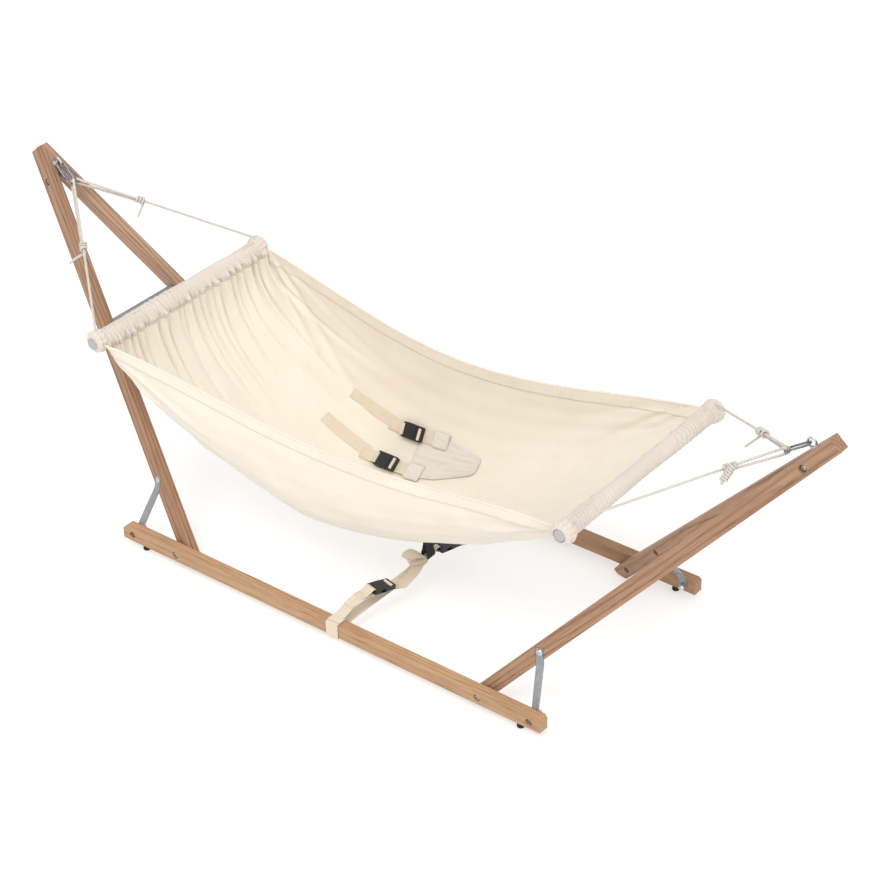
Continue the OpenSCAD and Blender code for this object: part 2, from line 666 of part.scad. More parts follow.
function rope_route(side, bx, bz, hand, fan, at, tail) = let(
    r0 = (bar_d / 2 + rope_d / 2 + soft_gap) / cos(180 / 8),
    yb = hand * (bar_end - 9),
    wy = fan == 0 ? hand * (rope_d / 2 + soft_gap) : 0,
    along = [side * cos(hook_slope), 0, sin(hook_slope)],
    w = hook_end(side, fan) + [0, wy, 0] + along * (hook_r - sqrt(pow(hook_r, 2) - pow(wy, 2))),
    up = [-side * sin(hook_slope), 0, cos(hook_slope)]
        * (hook_wire_d / 2 + rope_d / 2 + soft_gap) / cos(180 / 8),
    start = [side * bx, yb, bz + r0],
    wrap = [for (k = [7:-1:1]) [side * bx - side * r0 * sin(k * 45), yb + hand * 0.75 * k,
        bz + r0 * cos(k * 45)]],
    a = w + up,
    b = w - up,
    e = unit(a - start),
    back = along * norm(up),
    knot = start + (a - start) * at,
    u = unit(-up - e * (-up * e)),
    v = cross(e, u) * hand,
    kr = rope_d + rope_gap,
    turns = [for (k = [0:8 * knot_turns]) knot + (u * cos(k * 45) + v * sin(k * 45)) * kr
        - e * k * (rope_d + rope_gap) / 8],
    last = turns[len(turns) - 1])
    concat(wrap, [start + e * 4], [mix(start, a, 0.5), a - e * 3, a],
        [for (k = [1:3]) w + up * cos(k * 45) + back * sin(k * 45)],
        [b, b - e * 3], [knot + u * kr + e * 6],
        turns, [last + v * 4 + u * 2, last + tail]);

module rope(side, bx, bz, hand, fan, at, tail) {
    color(cotton) tube_sweep(rope_route(side, bx, bz, hand, fan, at, tail), rope_d, 8);
}

// Side-release buckles: the plug slides out of the socket along +X

buckle_w = strap_w + 1;
buckle_t = 7.5;
socket_l = 27;
plug_l = 15;
prong_l = 19;
prong_gap = 0.25;
mouth_w = buckle_w - 5;
mouth_t = 4;

module socket() {
    translate([0, 0, buckle_t / 2]) difference() {
        linear_extrude(buckle_t, center = true) union() {
            translate([-socket_l + 3, -buckle_w / 2]) square([socket_l - 3, buckle_w]);
            translate([-socket_l, -buckle_w / 2 + 3]) square([6, buckle_w - 6]);
            for (j = [-1, 1]) translate([-socket_l + 3, j * (buckle_w / 2 - 3)]) circle(3, $fn = 24);
        }
        translate([-prong_l - 1, -mouth_w / 2, -mouth_t / 2]) cube([prong_l + 2, mouth_w, mouth_t]);
        for (j = [-1, 1]) translate([-11, j * buckle_w / 2, 0])
            cube([9, 8, mouth_t + 1], center = true);
        translate([-socket_l + 2.2, -strap_w / 2 + 2, -5]) cube([1.8, strap_w - 4, 10]);
    }
}

module plug() {
    mt = mouth_t - 2 * prong_gap;
    translate([0, 0, buckle_t / 2]) {
        difference() {
            linear_extrude(buckle_t - 1.5, center = true) union() {
                translate([0.3, -buckle_w / 2]) square([plug_l - 3, buckle_w]);
                translate([plug_l - 5, -buckle_w / 2 + 3]) square([5, buckle_w - 6]);
                for (j = [-1, 1]) translate([plug_l - 3, j * (buckle_w / 2 - 3)]) circle(3, $fn = 24);
            }
            for (x = [4.5, 9.5]) translate([x, -strap_w / 2 + 2, -5]) cube([2.2, strap_w - 4, 10]);
        }
        for (j = [-1, 1]) translate([-prong_l + 1, j * (mouth_w / 2 - prong_gap - 2), -mt / 2]) {
            translate([0, -2, 0]) cube([prong_l, 4, mt]);
            cylinder(d = 4, h = mt, $fn = 24);
        }
        translate([-prong_l + 6, -1.4, -mt / 2]) cube([prong_l - 5, 2.8, mt]);
    }
}

// Harness, laid against the right side of the bed: two shoulder straps with sockets, an apron
// with two sewn patches, and the plugs on short tabs over it. Each strap's line is a pair of
// shares of the bed, along it and across it

strap_a = [0.388, 0.29];
strap_b = [0.417, 0.50];
apron_t = 1.6;
apron_w = 84;
buckle_lift = 2.5;
// The harness lies this far off the cloth's true curve, clear of the flat faces between its rows
lay_gap = 1.65;
function up_n(f, w) = let(n = cloth_n(f, w)) n.z > 0 ? n : -n;
function lay(f, w, lift) = cloth(f, w) + up_n(f, w) * (cloth_t / 2 + lay_gap + lift);

// Puts a buckle on the cloth at (f, w), its X axis running towards the foot end
module on_cloth(f, w, lift) {
    n = up_n(f, w);
    translate(lay(f, w, lift)) rotate([0, 0, heading(n)]) rotate([0, acos(n.z), 0])
        rotate([0, 0, -heading(n)]) children();
}
function heading(n) = atan2(n.y, n.x);

// A flat piece laid on the cloth over the shares fs, with its middle at w and its half widths
// in shares across the bed, cols pieces wide
module laid(fs, w, half_w, t, cols) {
    function side(lift) = [for (i = [0:len(fs) - 1]) [for (j = [0:cols])
        lay(fs[i], w + half_w[i] * (2 * j / cols - 1), lift)]];
    sheet(side(0), side(t));
}
// Length of cloth across the bed to a whole share, near the harness
across = 305;
// Length of a shoulder strap, and how far before the buckle's mouth it ends, as shares of the bed
strap_run = 0.134;
strap_short = 0.0312;

module harness_straps() {
    fs = [for (i = [0:7]) strap_run * (i / 7 - 1) - strap_short];
    color(cotton) for (s = [strap_a, strap_b])
        laid([for (f = fs) s[0] + f], s[1], [for (f = fs) (strap_w - 3) / 2 / across], strap_t, 2);
}

module harness_apron() {
    fs = [for (i = [0:9]) 0.425 + 0.15 * i / 9];
    wide = [for (i = [0:9]) apron_w * (i < 5 ? 1 - i * 0.036 : 0.857 - (i - 4) * 0.095)];
    color(canvas) laid(fs, (strap_a[1] + strap_b[1]) / 2, [for (w = wide) w / 2 / across], apron_t, 5);
}

module harness_buckle_place(s) {
    on_cloth(s[0], s[1], buckle_lift) children();
}

module harness_sockets() {
    color(black_plastic) for (s = [strap_a, strap_b]) harness_buckle_place(s) socket();
}

// Tether under the bed: a band round each rail, straps, a buckle on each side and a black loop
// sewn to the cloth. Z heights follow the strap as it arches off the rail

belly_f = 0.545;
belly_bottom = hem_z(belly_f) - depth(belly_f) - cloth_t / 2;
loop_at = [44, 0];
loop_drop = 62;
loop_r = 10;
loop_t = 1.8;
loop_w = 20;
stub_w = 10;
ring_in = loop_r - loop_t;
// Height at which the stub lies in the loop's round end
tether_low = belly_bottom - loop_drop + loop_t + ring_in - sqrt(pow(ring_in, 2) - pow(stub_w / 2, 2))
    + strap_t / 2;

module tether_bands() {
    color(cotton) for (j = [0, 1]) flip_y(j == 1) translate([tether_x, -rail_mid, rail_z])
        difference() {
            cube([strap_w, timber_t + 2 * strap_t + 0.2, timber_h + 2 * strap_t + 0.2], center = true);
            cube([strap_w + 2, timber_t + 0.2, timber_h + 0.2], center = true);
        }
}

// Ends of the buckles, and the low points of the right strap
near_a = [37, -140, 58];
near_b = [51, -82, 47];
near_dir = unit(near_b - near_a);
far_a = [57, 62, 46];
far_b = [47, 20, 50];
far_dir = unit(far_a - far_b);
far_low = [50, 120, 34];
far_rise = [36, 165, 40];

// A buckle whose X axis runs along the strap from its socket to its plug
module along_strap(p, d) {
    translate(p) rotate([0, 0, atan2(d.y, d.x)]) rotate([0, -asin(d.z), 0])
        translate([0, 0, -buckle_t / 2]) children();
}

near_mouth = near_a + near_dir * (socket_l + 2);
far_mouth = far_a - far_dir * (plug_l + 1);

module tether_socket_left() { color(black_plastic) along_strap(near_mouth, near_dir) socket(); }
module tether_plug_left() { color(black_plastic) along_strap(near_mouth, near_dir) plug(); }
module tether_socket_right() { color(black_plastic) along_strap(far_mouth, far_dir) socket(); }
module tether_plug_right() { color(black_plastic) along_strap(far_mouth, far_dir) plug(); }

function side_up(p) = [for (q = p) [0, 0, 1]];
module strap(p, w = strap_w - 2) {
    ribbon(p, side_up(p), [for (q = p) w], strap_t);
}

module tether_strap_left() {
    s = near_mouth - near_dir * (socket_l + 0.6);
    color(cotton) strap([[tether_x, -rail_in - 8, rail_top + strap_t * 1.5 + 0.5],
        [tether_x, -rail_in + 8, rail_top + 8], [tether_x + 3, -rail_in + 26, rail_top + 17],
        [s.x - near_dir.x * 14, s.y - near_dir.y * 14, s.z + 1], s]);
}

module tether_link_left() {
    s = near_mouth + near_dir * (plug_l + 0.6);
    color(cotton) strap([s, s + near_dir * 14 - [0, 0, 2], [54, -40, tether_low - 3],
        [loop_at.x, -loop_w / 2 - 11, tether_low], [loop_at.x, -loop_w / 2 - 0.8, tether_low]]);
}

// The stub through the loop's end to the right socket
module tether_stub() {
    s = far_mouth - far_dir * (socket_l + 0.6);
    color(cotton) strap([[loop_at.x, -loop_w / 2 - 0.4, tether_low], [loop_at.x, loop_w / 2, tether_low + 0.2],
        s], stub_w);
}

module tether_strap_right() {
    s = far_mouth + far_dir * (plug_l + 0.6);
    color(cotton) strap([s, s + far_dir * 14 - [0, 0, 3], far_low, far_rise,
        [tether_x, rail_in - 12, rail_top + 5],
        [tether_x, rail_in + 8, rail_top + strap_t * 1.5 + 0.5]]);
}

// The black webbing loop hanging from the cloth, closed round the straps' ends
module tether_loop() {
    low = loop_drop - loop_r;
    color(black_plastic) translate([loop_at.x, loop_at.y, belly_bottom - soft_gap]) rotate([0, 90, 90])
        linear_extrude(loop_w, center = true) difference() {
            union() {
                translate([0, -6]) square([loop_t, 12]);
                translate([loop_t / 2, -2 * loop_t]) square([low, 4 * loop_t]);
                translate([low, 0]) circle(loop_r, $fn = 40);
            }
            translate([3 * loop_t, -loop_t]) square([low - 3 * loop_t, 2 * loop_t]);
            translate([low, 0]) circle(loop_r - loop_t, $fn = 40);
        }
}

rail(false);  // rail_left
rail(true);  // rail_right
rubber_feet();
foot_screws();
leg(-1, false);  // head_leg_left
leg(-1, true);  // head_leg_right
leg(1, false);  // foot_leg_left
leg(1, true);  // foot_leg_right
head_cross_tube();
rail_end_bolts();
rail_end_nuts();
pivot_bolts();
pivot_nuts();
pivot_washers();
strut(-1, false);  // strut_head_left
strut(-1, true);  // strut_head_right
strut(1, false);  // strut_foot_left
strut(1, true);  // strut_foot_right
strut_bolts();
strut_nuts();
apex_bolts();
apex_nuts();
eye_bolts();
color(steel) hook_place(-1, -1) hook_body(-1);  // hook_head_left
color(steel) hook_place(-1, 1) hook_body(1);  // hook_head_right
color(steel) hook_place(1, 0) hook_body(-1);  // hook_foot
hook_pins();
color(steel) hook_place(-1, -1) gate(-1);  // gate_head_left
color(steel) hook_place(-1, 1) gate(1);  // gate_head_right
color(steel) hook_place(1, 0) gate(-1);  // gate_foot
bar(-head_bar_x, head_bar_z);  // head_bar
bar(foot_bar_x, foot_bar_z);  // foot_bar
bar_end_caps();
channel(-head_bar_x, head_bar_z, 40);  // head_channel
channel(foot_bar_x, foot_bar_z, 48);  // foot_channel
bed_cloth();
rope(-1, head_bar_x, head_bar_z, -1, -1, 0.59, [-14, -20, -18]);  // rope_head_left
rope(-1, head_bar_x, head_bar_z, 1, 1, 0.69, [6, -22, -16]);  // rope_head_right
rope(1, foot_bar_x, foot_bar_z, -1, 0, 0.76, [-8, -14, -22]);  // rope_foot_left
rope(1, foot_bar_x, foot_bar_z, 1, 0, 0.70, [-14, -20, -18]);  // rope_foot_right
harness_apron();
harness_straps();
harness_sockets();
color(black_plastic) harness_buckle_place(strap_a) plug();  // harness_plug_a
color(black_plastic) harness_buckle_place(strap_b) plug();  // harness_plug_b
tether_bands();
tether_strap_left();
tether_socket_left();
tether_plug_left();
tether_link_left();
tether_loop();
tether_socket_right();
tether_plug_right();
tether_strap_right();
tether_stub();
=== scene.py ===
# %% [markdown]
# # A baby hammock on a wooden stand
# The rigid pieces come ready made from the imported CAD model. This lesson dresses them: it
# gives each one its finish, and builds the soft pieces anew, because cloth, webbing and rope
# look right only when their folds and lay are real shapes.

import bpy
import numpy as np
from mathutils import Matrix, Vector
from numpy import array, clip, concatenate, cos, cross, interp, linspace, pi, radians, sin


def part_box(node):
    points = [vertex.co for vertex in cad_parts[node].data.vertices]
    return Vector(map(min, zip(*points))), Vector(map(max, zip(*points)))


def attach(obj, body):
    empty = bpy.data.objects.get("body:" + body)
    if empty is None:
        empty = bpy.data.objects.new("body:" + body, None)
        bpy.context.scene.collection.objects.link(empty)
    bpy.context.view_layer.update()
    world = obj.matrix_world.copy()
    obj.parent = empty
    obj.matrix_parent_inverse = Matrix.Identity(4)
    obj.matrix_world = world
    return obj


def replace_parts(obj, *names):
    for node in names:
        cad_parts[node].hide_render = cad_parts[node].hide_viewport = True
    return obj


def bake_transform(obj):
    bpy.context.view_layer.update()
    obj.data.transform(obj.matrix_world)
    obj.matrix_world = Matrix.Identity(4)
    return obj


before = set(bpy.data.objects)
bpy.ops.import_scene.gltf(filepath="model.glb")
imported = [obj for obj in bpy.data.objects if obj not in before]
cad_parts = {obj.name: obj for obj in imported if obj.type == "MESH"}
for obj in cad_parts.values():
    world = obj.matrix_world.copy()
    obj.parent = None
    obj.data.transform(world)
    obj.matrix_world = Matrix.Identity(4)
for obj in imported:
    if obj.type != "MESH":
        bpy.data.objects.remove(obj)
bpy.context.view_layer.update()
MM = 0.001

# %% [markdown]
# ## Maths for shaders
# A node tree is easier to read as a sum. Wire wraps one output socket, and its operators add
# Math nodes, so that 1 - mask * 0.4 works. Finish owns one material: node() adds any node.


# %% Wire and Finish
class Wire:
    """One output socket that takes part in sums."""

    def __init__(self, finish, socket):
        self.finish, self.socket = finish, socket

    def maths(self, operation, first, second=0.0):
        return self.finish.node("Math", {0: first, 1: second}, operation=operation)

    def __add__(self, other):
        return self.maths("ADD", self, other)

    def __sub__(self, other):
        return self.maths("SUBTRACT", self, other)

    def __rsub__(self, other):
        return self.maths("SUBTRACT", other, self)

    def __mul__(self, other):
        return self.maths("MULTIPLY", self, other)

    def __pow__(self, other):
        return self.maths("POWER", self, other)

    def wave(self, period):
        """Sine of the value, one turn in each period, from -1 to 1."""
        return self.maths("SINE", self * (2 * pi / period))

    def between(self, low, high):
        """0 below low, 1 above high, and a soft step between them."""
        limits = {"Value": self, "From Min": low, "From Max": high}
        return self.finish.node("MapRange", limits, interpolation_type="SMOOTHSTEP")

    __radd__, __rmul__ = __add__, __mul__


class Finish:
    """One material. Constants and wires go to the shader's sockets by feed()."""

    def __init__(self, name, **constants):
        self.material = bpy.data.materials.new(name)
        self.material.use_nodes = True
        self.tree = self.material.node_tree
        self.shader = self.tree.nodes["Principled BSDF"]
        self.feed(**constants)

    def put(self, socket, value):
        if isinstance(value, Wire):
            self.tree.links.new(value.socket, socket)
        else:
            socket.default_value = value

    def feed(self, **values):
        for socket, value in values.items():
            self.put(self.shader.inputs[socket.replace("_", " ")], value)

    def node(self, kind, inputs=None, out=0, **settings):
        made = self.tree.nodes.new("ShaderNode" + kind)
        for key, value in settings.items():
            setattr(made, key, value)
        for key, value in (inputs or {}).items():
            self.put(made.inputs[key], value)
        return Wire(self, made.outputs[out])

    def place(self):
        """The point on the piece, in its Object coordinates."""
        return self.node("TexCoord", out="Object")

    def cut_map(self):
        """The U and V of the piece's own map, in metres, and both as one vector."""
        both = self.node("UVMap", uv_map="cut")
        return *self.split(both)[:2], both

    def split(self, vector):
        first = self.node("SeparateXYZ", {0: vector})
        return [Wire(self, socket) for socket in first.socket.node.outputs]

    def mapped(self, where, **inputs):
        return self.node("Mapping", {"Vector": where, **inputs})

    def noise(self, where, scale, detail=3.0, rough=0.5):
        return self.node("TexNoise", {"Vector": where, "Scale": scale, "Detail": detail, "Roughness": rough})

    def mix(self, share, a, b):
        """Colour a where share is 0 and b where it is 1. A Mix node's colours go in at its
        sockets 6 and 7 and out at 2."""
        a, b = (colour if isinstance(colour, Wire) else (*colour, 1) for colour in (a, b))
        return self.node("Mix", {0: share, 6: a, 7: b}, 2, data_type="RGBA")

    def done(self, colour, rough, height, depth, strength=1.0):
        """The material, with its surface raised by height times depth, in metres."""
        bent = self.node("Bump", {"Height": height, "Distance": depth, "Strength": strength})
        self.feed(Base_Color=colour, Roughness=rough, Normal=bent)
        return self.material


def linear(r, g, b):
    """A screen colour from 0 to 255 as the linear light that a shader takes."""
    c = array([r, g, b]) / 255
    return tuple(np.where(c <= 0.04045, c / 12.92, ((c + 0.055) / 1.055) ** 2.4))


print("shader kit ready")

# %% [markdown]
# ## Timber
# The stand is oiled ash: a light brown with darker growth rings that run out in long pointed
# figures, and short open pores along the grain. Rings are a solid pattern: the distance from
# the tree's middle, pulled out of round by noise. Each timber was sawn from another place in
# the tree, so Mapping nodes turn the grain along the piece and shift it.


# %% Timber finish
def timber_finish(name, seed, along, tint, figure):
    """Rings are a sine of the distance from an axis along the piece; pores are noise stretched
    50 times along it."""
    wood = Finish(name, Specular_IOR_Level=0.35, Coat_Weight=0.06, Coat_Roughness=0.35)
    turn = Vector(along).to_track_quat("Z", "Y").inverted().to_euler()
    rng = np.random.default_rng(seed)
    shift = (rng.uniform(-0.05, 0.05), rng.uniform(0.03, 0.07), rng.uniform(-2, 2))
    placed = wood.mapped(wood.mapped(wood.place(), Rotation=turn), Location=shift)
    slow, streak = (wood.mapped(placed, Scale=(1, 1, scale)) for scale in (0.12, 0.02))
    x, y, z = wood.split(placed)
    aside = y + z * rng.uniform(0.02, 0.035)
    radius = (x * x + aside * aside) ** 0.5 + wood.noise(slow, 9) * 0.045
    late = (radius.wave(0.0065) * 0.5 + 0.5) ** 3.0
    pores = wood.noise(streak, 900, 2, 0.6).between(0.52, 0.72)
    fibre = wood.noise(streak, 260, 3, 0.6)
    light, dark, warmth, pore = (tuple(array(linear(*c)) * tint) for c in (
        (200, 165, 128), (132, 98, 70), (172, 132, 100), (86, 62, 46)))
    base = wood.mix(late * figure + fibre * 0.55 - 0.14, light, dark)
    warm = wood.mix(wood.noise(slow, 30, 2).between(0.4, 0.75) * 0.4, base, warmth)
    colour = wood.mix(pores * (0.45 + late * 0.35), warm, pore)
    return wood.done(colour, 0.42 + fibre * 0.2 + pores * 0.12, fibre * 0.5 - pores - late * 0.4, 0.00025)


# GOLDEN is the ash's own tone. The legs' tint is their own pinker tone, darkened as painted shade; the far
# rail's darker tint is painted shade, and the far head leg's paler, bluer tint is painted light.
GOLDEN, FAR_RAIL_SHADE = (0.93, 0.88, 0.84), (0.69, 0.61, 0.56)
PINK_AND_SHADE, FAR_LEG_LIGHT = (0.73, 0.65, 0.67), (0.87, 0.84, 0.97)
# Each timber: the direction of its grain, its tint, and how strongly its rings show
TIMBERS = {
    "rail_left": ((1, 0, 0), GOLDEN, 0.22), "rail_right": ((1, 0, 0), FAR_RAIL_SHADE, 0.2),
    "head_leg_left": ((-0.639, 0.263, 0.723), PINK_AND_SHADE, 0.5),
    "head_leg_right": ((-0.639, -0.263, 0.723), FAR_LEG_LIGHT, 0.5),
    "foot_leg_left": ((0.639, 0.263, 0.723), PINK_AND_SHADE, 0.45),
    "foot_leg_right": ((0.639, -0.263, 0.723), PINK_AND_SHADE, 0.4),
    "head_bar": ((0, 1, 0), GOLDEN, 0.4), "foot_bar": ((0, 1, 0), GOLDEN, 0.4),
}


def paint(node, material):
    """Puts one finish on a CAD node and on nothing else."""
    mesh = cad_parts[node].data
    mesh.materials.clear()
    mesh.materials.append(material)


for number, (node, facts) in enumerate(TIMBERS.items()):
    paint(node, timber_finish("ash_" + node, 40 + number, *facts))
print(len(TIMBERS), "timbers finished")

# %% [markdown]
# ## Metal, plastic and rubber
# The struts and the cross tube are zinc coated steel, which shows faint crystals. The hooks,
# eyes and bolts are bright plated steel with fine rubbing marks. The buckles are moulded
# black plastic with a fine spark texture, and the feet are black rubber.


# %% Hard finishes
def galvanised():
    """Crystals are the cells of a Voronoi pattern, each with its own grey and roughness."""
    zinc = Finish("galvanised_steel", Metallic=0.75, Specular_IOR_Level=0.5)
    where = zinc.place()
    cell = zinc.node("TexVoronoi", {"Vector": where, "Scale": 260}, "Color")
    grey = zinc.node("SeparateColor", {"Color": cell})
    cloud = zinc.noise(where, 45, 4, 0.6)
    colour = zinc.mix(grey * 0.3 + cloud * 0.5, linear(138, 139, 142), linear(180, 181, 184))
    return zinc.done(colour, 0.42 + grey * 0.1 + cloud * 0.14, cloud + grey * 0.2, 0.00008)


def plated(name, low, high, rough):
    """Fine rubbing marks are noise drawn out ten times along X."""
    bright = Finish(name, Metallic=1.0)
    where = bright.place()
    rub = bright.noise(bright.mapped(where, Scale=(120, 1200, 1200)), 1, 4, 0.65)
    dull = bright.noise(where, 160)
    return bright.done(bright.mix(dull * 0.7 + rub * 0.3, low, high), rough + rub * 0.16, rub, 0.00004)


def moulded(name, colour, grain_scale, rough, sheen=0.4):
    """A spark texture is fine noise in both height and roughness."""
    skin = Finish(name, Specular_IOR_Level=sheen)
    where = skin.place()
    grain, cloud = skin.noise(where, grain_scale, 2, 0.6), skin.noise(where, 60)
    lighter = tuple(min(1, c * 1.8 + 0.004) for c in colour)
    colour = skin.mix(cloud * 0.6 + grain * 0.3, colour, lighter)
    return skin.done(colour, rough + grain * 0.16, grain, 0.00006)


ZINC = galvanised()
STEEL = plated("zinc_steel", linear(176, 176, 182), linear(226, 226, 230), 0.2)
HOOK = plated("hook_steel", linear(104, 103, 106), linear(168, 167, 170), 0.26)
BOLT = plated("grey_steel", linear(150, 148, 146), linear(196, 194, 190), 0.28)
# The nuts in the legs get a darker steel: painted shade of the bores they sit in.
BORE_SHADE_STEEL = plated("nuts_painted_shade", linear(84, 76, 70), linear(128, 118, 110), 0.36)
PLASTIC = moulded("black_plastic", linear(26, 26, 29), 2600, 0.34)
RUBBER = moulded("black_rubber", linear(24, 23, 23), 1500, 0.62, 0.3)
CAP = moulded("grey_plastic", linear(150, 150, 148), 1800, 0.42)

HARD = (
    (ZINC, "strut_head_left strut_head_right strut_foot_left strut_foot_right head_cross_tube "
           "pivot_washers"),
    (STEEL, "eye_bolts hook_pins rail_end_nuts strut_bolts"),
    (HOOK, "hook_head_left hook_head_right hook_foot gate_head_left gate_head_right gate_foot"),
    (BOLT, "rail_end_bolts pivot_bolts apex_bolts apex_nuts foot_screws"),
    (BORE_SHADE_STEEL, "pivot_nuts strut_nuts"), (RUBBER, "rubber_feet"), (CAP, "bar_end_caps"),
    (PLASTIC, "harness_sockets harness_plug_a harness_plug_b tether_socket_left tether_plug_left "
              "tether_socket_right tether_plug_right"),
)
painted = [(node, material) for material, nodes in HARD for node in nodes.split()]
for node, material in painted:
    paint(node, material)
print(len(painted), "hard nodes finished")

# %% [markdown]
# ## Cloth, webbing and rope
# The bed is a cream plain weave of cotton, its threads a little thick and thin. The straps
# are ribbed cotton webbing, one loop is black. A pattern follows the surface through a UV
# map measured in metres, so that one thread is one thread wide everywhere.


# %% Soft finishes
def woven(name, light, shade, thread):
    """Plain weave: the height is sin(u) times sin(v), with one thread in each half turn.
    Slubs are noise stretched along each set of threads."""
    cloth = Finish(name, Specular_IOR_Level=0.2, Sheen_Weight=0.25, Sheen_Roughness=0.5)
    u, v, both = cloth.cut_map()
    weave = u.wave(2 * thread) * v.wave(2 * thread)
    across, along = (cloth.noise(cloth.mapped(both, Scale=scale), 1, 2)
                     for scale in ((30, 900, 1), (900, 30, 1)))
    cloud, crease = cloth.noise(both, 14, 4, 0.55), cloth.noise(both, 42, 3, 0.6)
    slub = (across + along) * 0.5
    tone = cloud * 0.45 + slub * 0.45 - weave * 0.08 + 0.06
    height = weave * 0.35 + slub * 0.9 + crease * 2.2
    return cloth.done(cloth.mix(tone, light, shade), 0.78 + slub * 0.16, height, 0.0003, 0.8)


def ribbed(name, light, shade, rib):
    """Webbing: ribs across the strap, one each rib metres, and fine threads along it."""
    tape = Finish(name, Specular_IOR_Level=0.22, Sheen_Weight=0.15)
    u, v, both = tape.cut_map()
    ribs, warp = v.wave(rib) * 0.5 + 0.5, u.wave(0.0012) * 0.5 + 0.5
    cloud, fluff = tape.noise(both, 40), tape.noise(both, 900, 2, 0.6)
    colour = tape.mix(cloud * 0.4 + fluff * 0.3 + (1 - ribs) * 0.35, light, shade)
    return tape.done(colour, 0.72 + fluff * 0.2, ribs + warp * 0.5 + fluff * 0.4, 0.00022)


def twisted(name, light, shade):
    """Cotton cord: V runs along it and U round it. Yarns are fine lines that wind round."""
    cord = Finish(name, Specular_IOR_Level=0.2, Sheen_Weight=0.2)
    u, v, both = cord.cut_map()
    yarn = (u + v * 0.9).wave(0.0011) * 0.5 + 0.5
    fluff, cloud = cord.noise(both, 1200, 2, 0.6), cord.noise(both, 70)
    colour = cord.mix(cloud * 0.5 + yarn * 0.3 + fluff * 0.2, light, shade)
    return cord.done(colour, 0.78 + fluff * 0.15, yarn + fluff * 0.6, 0.0002)


CANVAS = woven("canvas", linear(244, 237, 224), linear(225, 214, 197), 0.0006)
# The rolls and their skirts use a greyer, darker copy of the canvas: painted shade on the gathered cloth.
SHADED_CANVAS = woven("canvas_painted_shade", linear(231, 222, 211), linear(198, 186, 173), 0.0006)
APRON = woven("apron_canvas", linear(232, 228, 219), linear(206, 199, 187), 0.0005)
WEBBING = ribbed("cotton_webbing", linear(238, 226, 208), linear(204, 188, 165), 0.0016)
BLACK_TAPE = ribbed("black_webbing", linear(38, 38, 42), linear(16, 16, 18), 0.0014)
ROPE = twisted("cotton_rope", linear(236, 231, 222), linear(188, 179, 165))
THREAD = twisted("seam_thread", linear(238, 226, 200), linear(206, 190, 158))
print("soft finishes ready")

# %% [markdown]
# ## Building with grids
# Every soft piece is a grid of points worked out with numpy: rows run along the piece and
# columns across or round it. grid_piece turns a grid into a mesh with its map in metres, and
# swept carries a section along a line.


# %% Grid to mesh
def lengths(points):
    """Distance run along a list of points, from 0."""
    return concatenate([[0], np.cumsum(np.linalg.norm(np.diff(points, axis=0), axis=1))])


def add(name, data):
    """Puts an object with this mesh, lamp or camera in the scene."""
    made = bpy.data.objects.new(name, data)
    bpy.context.scene.collection.objects.link(made)
    return made


def mesh_piece(name, points, faces, material, corners=None):
    """A smooth mesh from points in millimetres; corners are its map, in metres."""
    mesh = bpy.data.meshes.new(name)
    mesh.from_pydata((points.reshape(-1, 3) * MM).tolist(), [], faces)
    layer = mesh.uv_layers.new(name="cut")
    if corners is not None:
        layer.data.foreach_set("uv", corners.astype(np.float32).reshape(-1))
    mesh.polygons.foreach_set("use_smooth", np.full(len(faces), True))
    mesh.materials.append(material)
    mesh.update()
    return add(name, mesh)


def grid_faces(rows, cols, wrap=True):
    """A grid's faces, and the rows and columns of its quads. Quad (r, c) joins its point to
    the next column and row. With wrap, the last column meets the first, and both ends are
    closed with a flat face."""
    r, c = np.meshgrid(np.arange(rows - 1), np.arange(cols if wrap else cols - 1), indexing="ij")
    this, other = r * cols + c, r * cols + (c + 1) % cols
    faces = np.stack([this, other, other + cols, this + cols], -1).reshape(-1, 4).tolist()
    if wrap:
        faces += [list(range(cols))[::-1], list(range((rows - 1) * cols, rows * cols))]
    return faces, r, c


def grid_piece(name, points, material, body, u, v, wrap=True):
    """A mesh from points of shape (rows, columns, 3). In its map, u runs across the columns
    and v along the rows, both given in millimetres."""
    faces, r, c = grid_faces(*points.shape[:2], wrap)
    u, v = np.asarray(u) * MM, np.asarray(v) * MM
    corners = np.stack([u[c], v[r], u[c + 1], v[r], u[c + 1], v[r + 1], u[c], v[r + 1]], -1).reshape(-1, 2)
    if wrap:
        corners = concatenate([corners, np.zeros((2 * points.shape[1], 2))])
    piece = mesh_piece(name, points, faces, material, corners)
    if body:
        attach(piece, body)
    return piece


def sheet_piece(name, points, material, thick, u, v):
    """An open grid on the bed, made thick millimetres thick."""
    piece = grid_piece(name, points, material, "bed", u, v, wrap=False)
    wall = piece.modifiers.new("cloth", "SOLIDIFY")
    wall.thickness, wall.offset = thick * MM, 0
    return piece


def spline(points, step):
    """A smooth line through the points, Catmull-Rom, with a point about every step."""
    p = np.asarray(points, float)
    p = concatenate([[2 * p[0] - p[1]], p, [2 * p[-1] - p[-2]]])
    out = []
    for a, b, c, d in zip(p, p[1:], p[2:], p[3:]):
        count = max(2, int(np.linalg.norm(c - b) / step))
        t = linspace(0, 1, count, endpoint=False)[:, None]
        out.append(0.5 * (2 * b + (c - a) * t + (2 * a - 5 * b + 4 * c - d) * t ** 2
                          + (3 * b - a - 3 * c + d) * t ** 3))
    return concatenate(out + [p[-2:-1]])


def sample(at, run, points):
    """The points, or any vectors, that belong to the runs in at."""
    return np.stack([interp(at, run, points[:, i]) for i in range(3)], -1)


def even(points, step):
    """The same line with its points a whole step apart."""
    s = lengths(points)
    return sample(linspace(0, s[-1], max(3, int(s[-1] / step) + 1)), s, points)


def unit(v):
    return v / np.maximum(np.linalg.norm(v, axis=-1, keepdims=True), 1e-9)


UP = array([0, 0, 1.0])


